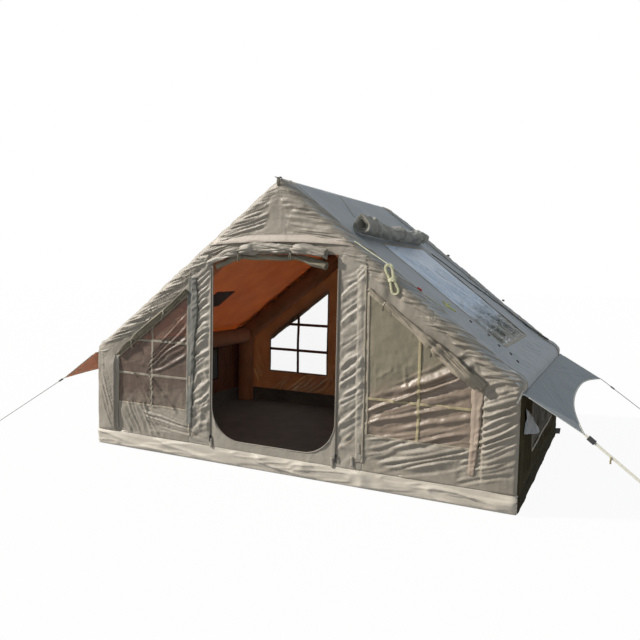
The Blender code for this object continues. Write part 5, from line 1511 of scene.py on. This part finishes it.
def hoop(name, centre, way, radius, width, thick, material):
    """A flat band round an axis, closed on itself."""
    way = unit(np.asarray(way, float))
    start = np.array([0.0, 0.0, 1.0]) if abs(way[2]) < 0.9 else np.array([0.0, 1.0, 0.0])
    first = unit(start - way * start.dot(way))
    second = np.cross(way, first)
    turn = np.linspace(0.0, 2 * pi, 40, endpoint=False)[:, None]
    along, out = np.array([(-0.5, 0.0), (-0.5, 0.7), (-0.4, 1.0), (0.4, 1.0), (0.5, 0.7), (0.5, 0.0)]).T
    radial = np.cos(turn) * first + np.sin(turn) * second
    points = centre + radial[:, None] * (radius + out * thick)[:, None] + way * (along * width)[:, None]
    index = np.arange(points[..., 0].size).reshape(points.shape[:2])
    down, right = np.roll(index, -1, axis=0), np.roll(index, -1, axis=1)
    quads = joined(index, right, np.roll(down, -1, axis=1), down).reshape(-1, 4)
    uv = joined(turn * radius, along * width).reshape(-1, 2)
    return on_tent(mesh_object(name, points.reshape(-1, 3), [quads], uv, None, (material,)))


def toggle(name, place, way, length=0.024, radius=0.0035, material=BLACK):
    """A small turned toggle: a round bar with full ends and a groove at its middle."""
    way = unit(np.asarray(way, float))
    t = np.linspace(-1.0, 1.0, 17)
    shape = radius * np.sqrt(np.clip(1 - np.abs(t) ** 6, 0.02, 1.0)) * (1 - 0.3 * bell(t, 0.15))
    return tube(name, place + way * (t * length / 2)[:, None], shape, material, 16)


def tails(name, place, away, seed, reach=0.05):
    """The two loose ends of a tie: short straps that hang and turn a little."""
    rng = np.random.default_rng(seed)
    t = np.linspace(0.0, 1.0, 10)[:, None]
    for k in range(2):
        aside = np.array([rng.uniform(-0.4, 0.4), 0.0, 0.0])
        length = reach * rng.uniform(0.7, 1.2)
        hang = length * (np.array([0.0, 0.0, -1.0]) * t + aside * t * (1 - 0.3 * t))
        path = place + hang + np.asarray(away) * 0.004 * np.sin(3 * t)
        ribbon(f"{name}_{k}", path, away, 0.008, 0.0014, STRAP_DARK)


def door_rolls():
    """The outer door rolled up over the doorway, and the mesh door's thinner roll under it."""
    left, right = DOOR_LEFT - 0.025, DOOR_RIGHT - 0.070
    u = np.linspace(-1.0, 1.0, 60)
    drop = np.where(u < 0, 0.098, 0.030) * np.abs(u) ** 2.0
    path = joined((left + right) / 2 + (right - left) / 2 * u, -DEPTH / 2, DOOR_TOP + 0.036 - drop)
    radii = 0.0265 * (0.55 + 0.45 * smooth(u, -1.0, -0.55)) * (1 - 0.05 * np.cos(5 * pi * u))
    tied = rolled("outer_door", path, radii, (0, -1, 0), PALE, 301, (0.30, 0.735), 0.50)
    for k, (place, size) in enumerate(tied):
        tails(f"outer_door_tie_end_{k}", place + np.array([0.0, -size * 0.75, -0.012]), (0, -1, 0), 310 + k)

    knots = ((-0.455, 0.072), (-0.360, 0.030), (-0.250, 0.0), (-0.120, 0.001), (0.0, 0.002), (0.100, 0.002),
             (0.170, 0.005), (0.250, 0.022), (0.335, 0.047))
    path = smooth_line([(x, -DEPTH / 2 + 0.0015, DOOR_TOP - below) for x, below in knots], 60)
    path[:, 2] = np.minimum(path[:, 2], DOOR_TOP)
    radii = 0.0165 + 0.006 * smooth(u, 0.45, 0.75) - 0.004 * (1 - smooth(u, -1.0, -0.7))
    rolled("mesh_door", path, radii, (0, 0, -1), MESH, 302, (0.27, 0.73), 0.40)


def window_rolls():
    """Window covers rolled up along the slanted heads of the gable windows."""
    t = np.linspace(0.0, 1.0, 60)
    for face, (out, _) in FACES.items():
        for side, name in ((-1, "left"), (1, "right")):
            inner, outer, _, sleeve = FRONT_WINDOW[side] if face == "front" else REAR_WINDOW
            x = inner + (outer - inner) * t
            if face == "front" and side > 0:
                radii = 0.011 + 0.020 * smooth(t, 0.30, 0.72) - 0.010 * smooth(t, 0.90, 1.0)
                ties, wrinkle = (0.145, 0.59), 0.60
            else:
                bulge = np.sin(pi * np.clip(t - 0.25, 0.0, None) / 0.75) ** 2
                radii = (0.0125 if out < 0 else 0.0165) + 0.0026 * bulge
                ties, wrinkle = (0.31, 0.77), 0.45
            path = joined(side * x, out * DEPTH / 2, rafter(x, sleeve - 0.017))
            cover, seed = COVER if side > 0 else DULL_COVER, 320 + side + int(out)
            whole = f"{face}_{name}_cover"
            tied = rolled(whole, path, radii, (0, out, 0), cover, seed, ties, wrinkle, 0.9)
            for k, (place, size) in enumerate(tied):
                knot = place + np.array([0.0, out * (size * 0.80 + 0.003), -0.010])
                toggle(f"{whole}_toggle_{k}", knot, (0.5 * side, 0.1, 1.0), 0.026, 0.0032, TOGGLE)
                if face == "front":
                    tails(f"{whole}_tie_end_{k}", knot, (0, out, 0), 330 + k + side, 0.045)


def skylight_roll():
    """The skylight's cover rolled up across the top of its film, bunched at the front and sagging between."""
    t = np.linspace(0.0, 1.0, 80)
    u = 2 * t - 1
    radii = 0.046 * (1.0 + 0.30 * np.clip(1 - 5 * t, 0.0, None) + 0.07 * np.cos(3 * pi * u))
    path = roof_point(1, -0.74 + 1.38 * t, 0.520 + 0.035 * (1 - u * u))
    away = (sin(SLOPE), 0.0, cos(SLOPE))
    rolled("skylight_cover", path, radii, away, SKY_COVER, 340, (0.10, 0.46, 0.86), 0.12, 0.2)


# Trim


def roof_patch():
    """A dark patch on the inside of the left roof, near the front."""
    y, v = np.meshgrid(np.linspace(-0.27, -0.01, 14), np.linspace(1.21, 1.42, 12))
    made = patch(roof_point(-1, y, v, 0.0030 - roof_relief(-1, y, v)), turned=True)
    cloth("left_roof_inner_patch", [made], DARK_PATCH, DARK_PATCH, thick=0.0010)


def rain_flap():
    """The flap over the doorway: sewn along its top, standing off the wall below, pointed at both ends."""
    u, t = np.meshgrid(np.linspace(-1.0, 1.0, 160), np.linspace(0.0, 1.0, 18))
    x = 0.51 * u
    low = DOOR_TOP + 0.052 + 0.022 * (1 - u * u)
    top = np.maximum(np.minimum(low + 0.046, rafter(x, 0.018)), low + 0.002)
    z = top + (low - top) * t
    stand = 0.014 * np.sin(0.5 * pi * t) ** 1.5 * (1 - 0.8 * smooth(np.abs(u), 0.88, 1.0))
    wave = 0.0016 * noise(x * 12, t * 2, 350) * t
    made = patch(joined(x, -(DEPTH / 2 + 0.0035 + stand + wave), z)[::-1], joined(x, z)[::-1])
    under = ["front_gable_cloth"]
    sewn("rain_flap", "door_rain_flap", made, FLAP, KHAKI, "wall_cloth", under, 0.0022, "hung")


def door_edge():
    """Piping round the doorway, and the bright hems along the outer edges of the strips beside it."""
    turn = np.linspace(0.0, pi / 2, 16)
    foot, end = DOOR_SILL + DOOR_CORNER, DOOR_TOP - 0.01
    left, right = DOOR_LEFT + DOOR_CORNER, DOOR_RIGHT - DOOR_CORNER
    side, turned = DOOR_CORNER * np.cos(turn), DOOR_CORNER * np.sin(turn)
    sill = np.linspace(left, right, 40)[1:-1]
    down, up = np.linspace(end, foot, 120)[:-1], np.linspace(foot, end, 120)[1:]
    x = np.concatenate([0 * down + DOOR_LEFT, left - side, sill, right + turned, 0 * up + DOOR_RIGHT])
    z = np.concatenate([down, foot - turned, 0 * sill + DOOR_SILL, foot - side, up])
    inward = 0.0022 * unit(np.array([(DOOR_LEFT + DOOR_RIGHT) / 2, DOOR_SILL + 0.8]) - joined(x, z))
    path = joined(x + inward[:, 0], -DEPTH / 2 - 0.0005, z + inward[:, 1])
    tube("doorway_piping", path, 0.0030, PALE, 12)
    for name, x, high in (("left", STRIP_LEFT, 1.27), ("right", STRIP_RIGHT, 1.33)):
        run = [(x, 0.16), (x, high)]
        gable_ribbon(f"{name}_strip_hem", "front", run, 0.012, BINDING, 0.0045, 0.0016)


def zips():
    """Teeth of the two door zips, on their tapes."""
    low, high = TUB + GAP + 0.022, DOOR_TOP - 0.092
    ring = np.array([(-1, 0), (-0.8, 1), (0.8, 1), (1, 0)]) * (0.0026, 0.0011)
    sides = ((0, 1, 5, 4), (1, 2, 6, 5), (2, 3, 7, 6), (3, 0, 4, 7), (3, 2, 1, 0), (4, 5, 6, 7))
    for name, x in (("left", DOOR_LEFT - 0.0084), ("right", DOOR_RIGHT + 0.0084)):
        z = np.arange(low + 0.004, high, 0.0042)[:, None]
        bite = 0.0010 * (np.arange(len(z)) % 2)[:, None] - 0.0005
        base = -DEPTH / 2 - GAP - 0.002
        halves = [joined(x + bite + ring[:, 0], base - ring[:, 1], z + step) for step in (-0.0013, 0.0013)]
        verts = np.stack(halves, axis=1).reshape(-1, 3)
        faces = np.concatenate([8 * np.arange(len(z))[:, None] + np.array(quad) for quad in sides])
        teeth = mesh_object(f"{name}_zip_teeth", verts, [faces], None, None, (BLACK,), smoothed=False)
        on_tent(teeth)


def small_trim():
    """Sewn and tied-on bits: apex loop, painted shadow line by the skylight, roof toggles, side window's
    flap, peg loops, tags.
    """
    on_front = -DEPTH / 2
    apex = ((0.0, -0.006, 1.812), (0.0, -0.012, 1.838), (0.0, -0.006, 1.858), (-0.006, 0.012, 1.866),
            (-0.008, 0.035, 1.862))
    apex = np.array(apex) + (0.0, on_front, 0.0)
    ribbon("apex_tab", smooth_line(apex, 16), (0.0, -0.7, 0.7), 0.022, 0.002, STRAP_DARK)
    ring_place = np.array([-0.012, on_front - 0.010, 1.862])
    hoop("apex_ring", ring_place, (0.2, 0.1, 1.0), 0.010, 0.003, 0.003, METAL)
    # A black strip behind the skylight's rear edge, wider at its lower end: painted shadow of a groove.
    tapes = (("roof_painted_shadow_line", ((0.62, 0.66), (0.80, 1.28), (0.90, 1.76)), 0.028, 0.002),
             ("roof_painted_shadow_end", ((0.85, 1.56), (0.905, 1.78)), 0.040, 0.004))
    for name, run, width, lift in tapes:
        roof_ribbon(name, 1, run, width, BLACK_TAPE_AND_SHADOW_LINE, lift, 0.003)
    roof_ribbon("ridge_seam_strip", 1, ((-0.14, 0.02), (-0.31, 0.29)), 0.010, BINDING)
    for k, v in enumerate((1.41, 1.54, 1.63, 1.71, 1.77)):
        place = roof_point(1, -0.62 + 0.04 * (k % 2), v, -0.016)
        toggle(f"roof_toggle_{k}", place, (0.7, -0.3, -0.6), 0.022, 0.0045)
    for k, v in enumerate((0.70, 1.30)):
        place = roof_point(1, 0.972, v, -0.020)
        toggle(f"rear_edge_toggle_{k}", place, (0.5, 1.0, -0.3), 0.026, 0.0075, STRAP_DARK)
    side_flap()
    for k, (x, y) in enumerate(((1.0, 1.0), (-1.0, 1.0))):
        base = np.array([x * (WIDTH / 2 - 0.004), y * (DEPTH / 2 - 0.004), 0.032])
        way = np.array([x, y, 0.0]) / sqrt(2)
        path = [base, base + way * 0.028 + (0, 0, -0.001), base + way * 0.048 + (0, 0, -0.004)]
        ribbon(f"peg_loop_{k}", smooth_line(path, 10), (-y, x, 0.0), 0.046, 0.004, BLACK_TAPE_AND_SHADOW_LINE)
    runner = roof_point(1, np.array([-0.885, -0.860]), np.array([1.082, 1.110]), -0.014)
    shape = 0.0075 * np.array([0.5, 0.9, 1, 1, 0.8, 1, 1, 0.9, 0.5])
    tube("spare_runner", np.linspace(*runner, 9), shape, RED, 14)
    knot_bunch()
    strap_tail()
    strap = [(1.470, 0.612), (1.486, 0.648), (1.494, 0.682)]
    gable_ribbon("corner_tag", "front", strap, 0.010, STRAP, lift=0.003)
    for k, (x, z) in enumerate(((0.40, 0.135), (0.531, 0.160), (0.574, 0.245), (-0.488, 0.135))):
        run = [(x, z + 0.03), (x + 0.004, z - 0.03)]
        gable_ribbon(f"hold_back_{k}", "front", run, 0.020, PALE, lift=0.006, crown=0.003)
    front_bands()


def front_bands():
    """Bands and folds of cloth beside the doorway and the windows; the left strip's band is dark as painted
    shade.
    """
    # The left strip's flap: cloth coloured dark blue-grey as painted shade.
    knots = [(-0.640, 1.23), (-0.645, 1.02), (-0.660, 0.60), (-0.664, 0.22)]
    widths = (0.07, 0.085, 0.062, 0.045)
    gable_band("left_strip_painted_shade_band", knots, widths, SHADE_BAND, 401, 0.003, 0.004, bridge=0.75)
    knots = [(0.570, 0.16), (0.568, 0.60), (0.566, 1.31)]
    gable_band("right_strip_band", knots, (0.05, 0.056, 0.060), PALE, 402, 0.0025, 0.003, -0.006, 0.5)
    knots = [(1.240, 0.185), (1.256, 0.42), (1.262, 0.70)]
    gable_band("right_hem_band", knots, (0.034, 0.052, 0.066), PINK_HEM, 403, 0.004, 0.003, -0.005, 0.7)
    knots = [(-1.300, 0.14), (-1.304, 0.40), (-1.300, 0.66)]
    gable_band("left_panel_fold", knots, (0.020, 0.030, 0.040), PALE, 404, 0.004, 0.004)


def side_flap():
    """The corner of the right side window's cover, folded out below the awning."""
    u, t = np.meshgrid(np.linspace(0.0, 1.0, 30), np.linspace(0.0, 1.0, 18))
    top, tip, low = np.array([-0.93, 0.577]), np.array([-0.30, 0.315]), np.array([-0.95, 0.440])
    first, last = top + (tip - top) * u[..., None], low + (tip - low) * u[..., None]
    place = first + (last - first) * t[..., None]
    stand = 0.010 + 0.030 * np.sin(pi * u) * (0.4 + 0.6 * t) + 0.004 * noise(u * 5, t * 3, 372)
    out = side_relief(1, place[..., 0], place[..., 1]) + stand
    grid = joined(WIDTH / 2 + out, place[..., 0], place[..., 1])
    made = patch(grid[::-1, :-1], place[::-1, :-1])
    cloth("side_window_flap", [made], SKY_SHADED_ROOF, KHAKI, thick=0.0018)


def knot_bunch():
    """Leftover rope tied in a bunch on the roof's edge: a few small loops through one knot."""
    middle = roof_point(1, -0.764, 1.270, -0.016)
    rng = np.random.default_rng(381)
    turn = np.linspace(0.0, 2 * pi, 20)
    for k in range(4):
        lean, reach = 2 * pi * k / 4 + rng.uniform(-0.3, 0.3), rng.uniform(0.038, 0.056)
        along = np.array([cos(lean) * cos(SLOPE), sin(lean), -cos(lean) * sin(SLOPE)])
        out = np.array([sin(SLOPE), 0.0, cos(SLOPE)])
        side = np.cross(out, along)
        path = middle + along * (reach * np.sin(turn / 2) ** 1.2)[:, None]
        path = path + side * (0.008 * np.sin(turn))[:, None]
        path = path + out * (0.004 + 0.010 * np.sin(turn / 2))[:, None]
        tube(f"knot_loop_{k}", path, 0.0036, GREEN_ROPE, 10)


def strap_tail():
    """The loose end of the front right guy's strap, hanging from its buckle."""
    path = [(1.937, -1.022, 0.396), (1.939, -1.025, 0.386), (1.937, -1.026, 0.375), (1.938, -1.026, 0.362)]
    path = smooth_line(path, 12)
    ribbon("strap_tail", path, (0.2, -1.0, 0.0), STRAP_WIDTH * 0.6, 0.0016, TAPE)


def dress(node, material):
    """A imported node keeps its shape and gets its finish."""
    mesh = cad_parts[node].data
    for i in range(max(1, len(mesh.materials))):
        if i < len(mesh.materials):
            mesh.materials[i] = material
        else:
            mesh.materials.append(material)


def dress_all():
    """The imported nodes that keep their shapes: zips, runners, pegs and valve."""
    for side in ("left", "right"):
        dress(f"{side}_zip_track", ZIP)
        dress(f"{side}_zip_slider", METAL)
        dress(f"{side}_zip_pull", METAL)
        for end in ("front", "rear"):
            dress(f"{end}_{side}_runner", BLACK)
            dress(f"{end}_{side}_peg", STEEL)
    dress("valve_body", BLACK)
    dress("valve_cap", BLACK)


for build in (
    camera, guys, spare_guy, studio, front_walls, door_surround, rear_wall, side_walls, roofs, rafter_wraps,
    groundsheet, awnings, air_frame, windows, skylight, door_rolls, window_rolls, skylight_roll, roof_patch,
    hank_wrap, rain_flap, door_edge, zips, small_trim, dress_all,
):
    build()
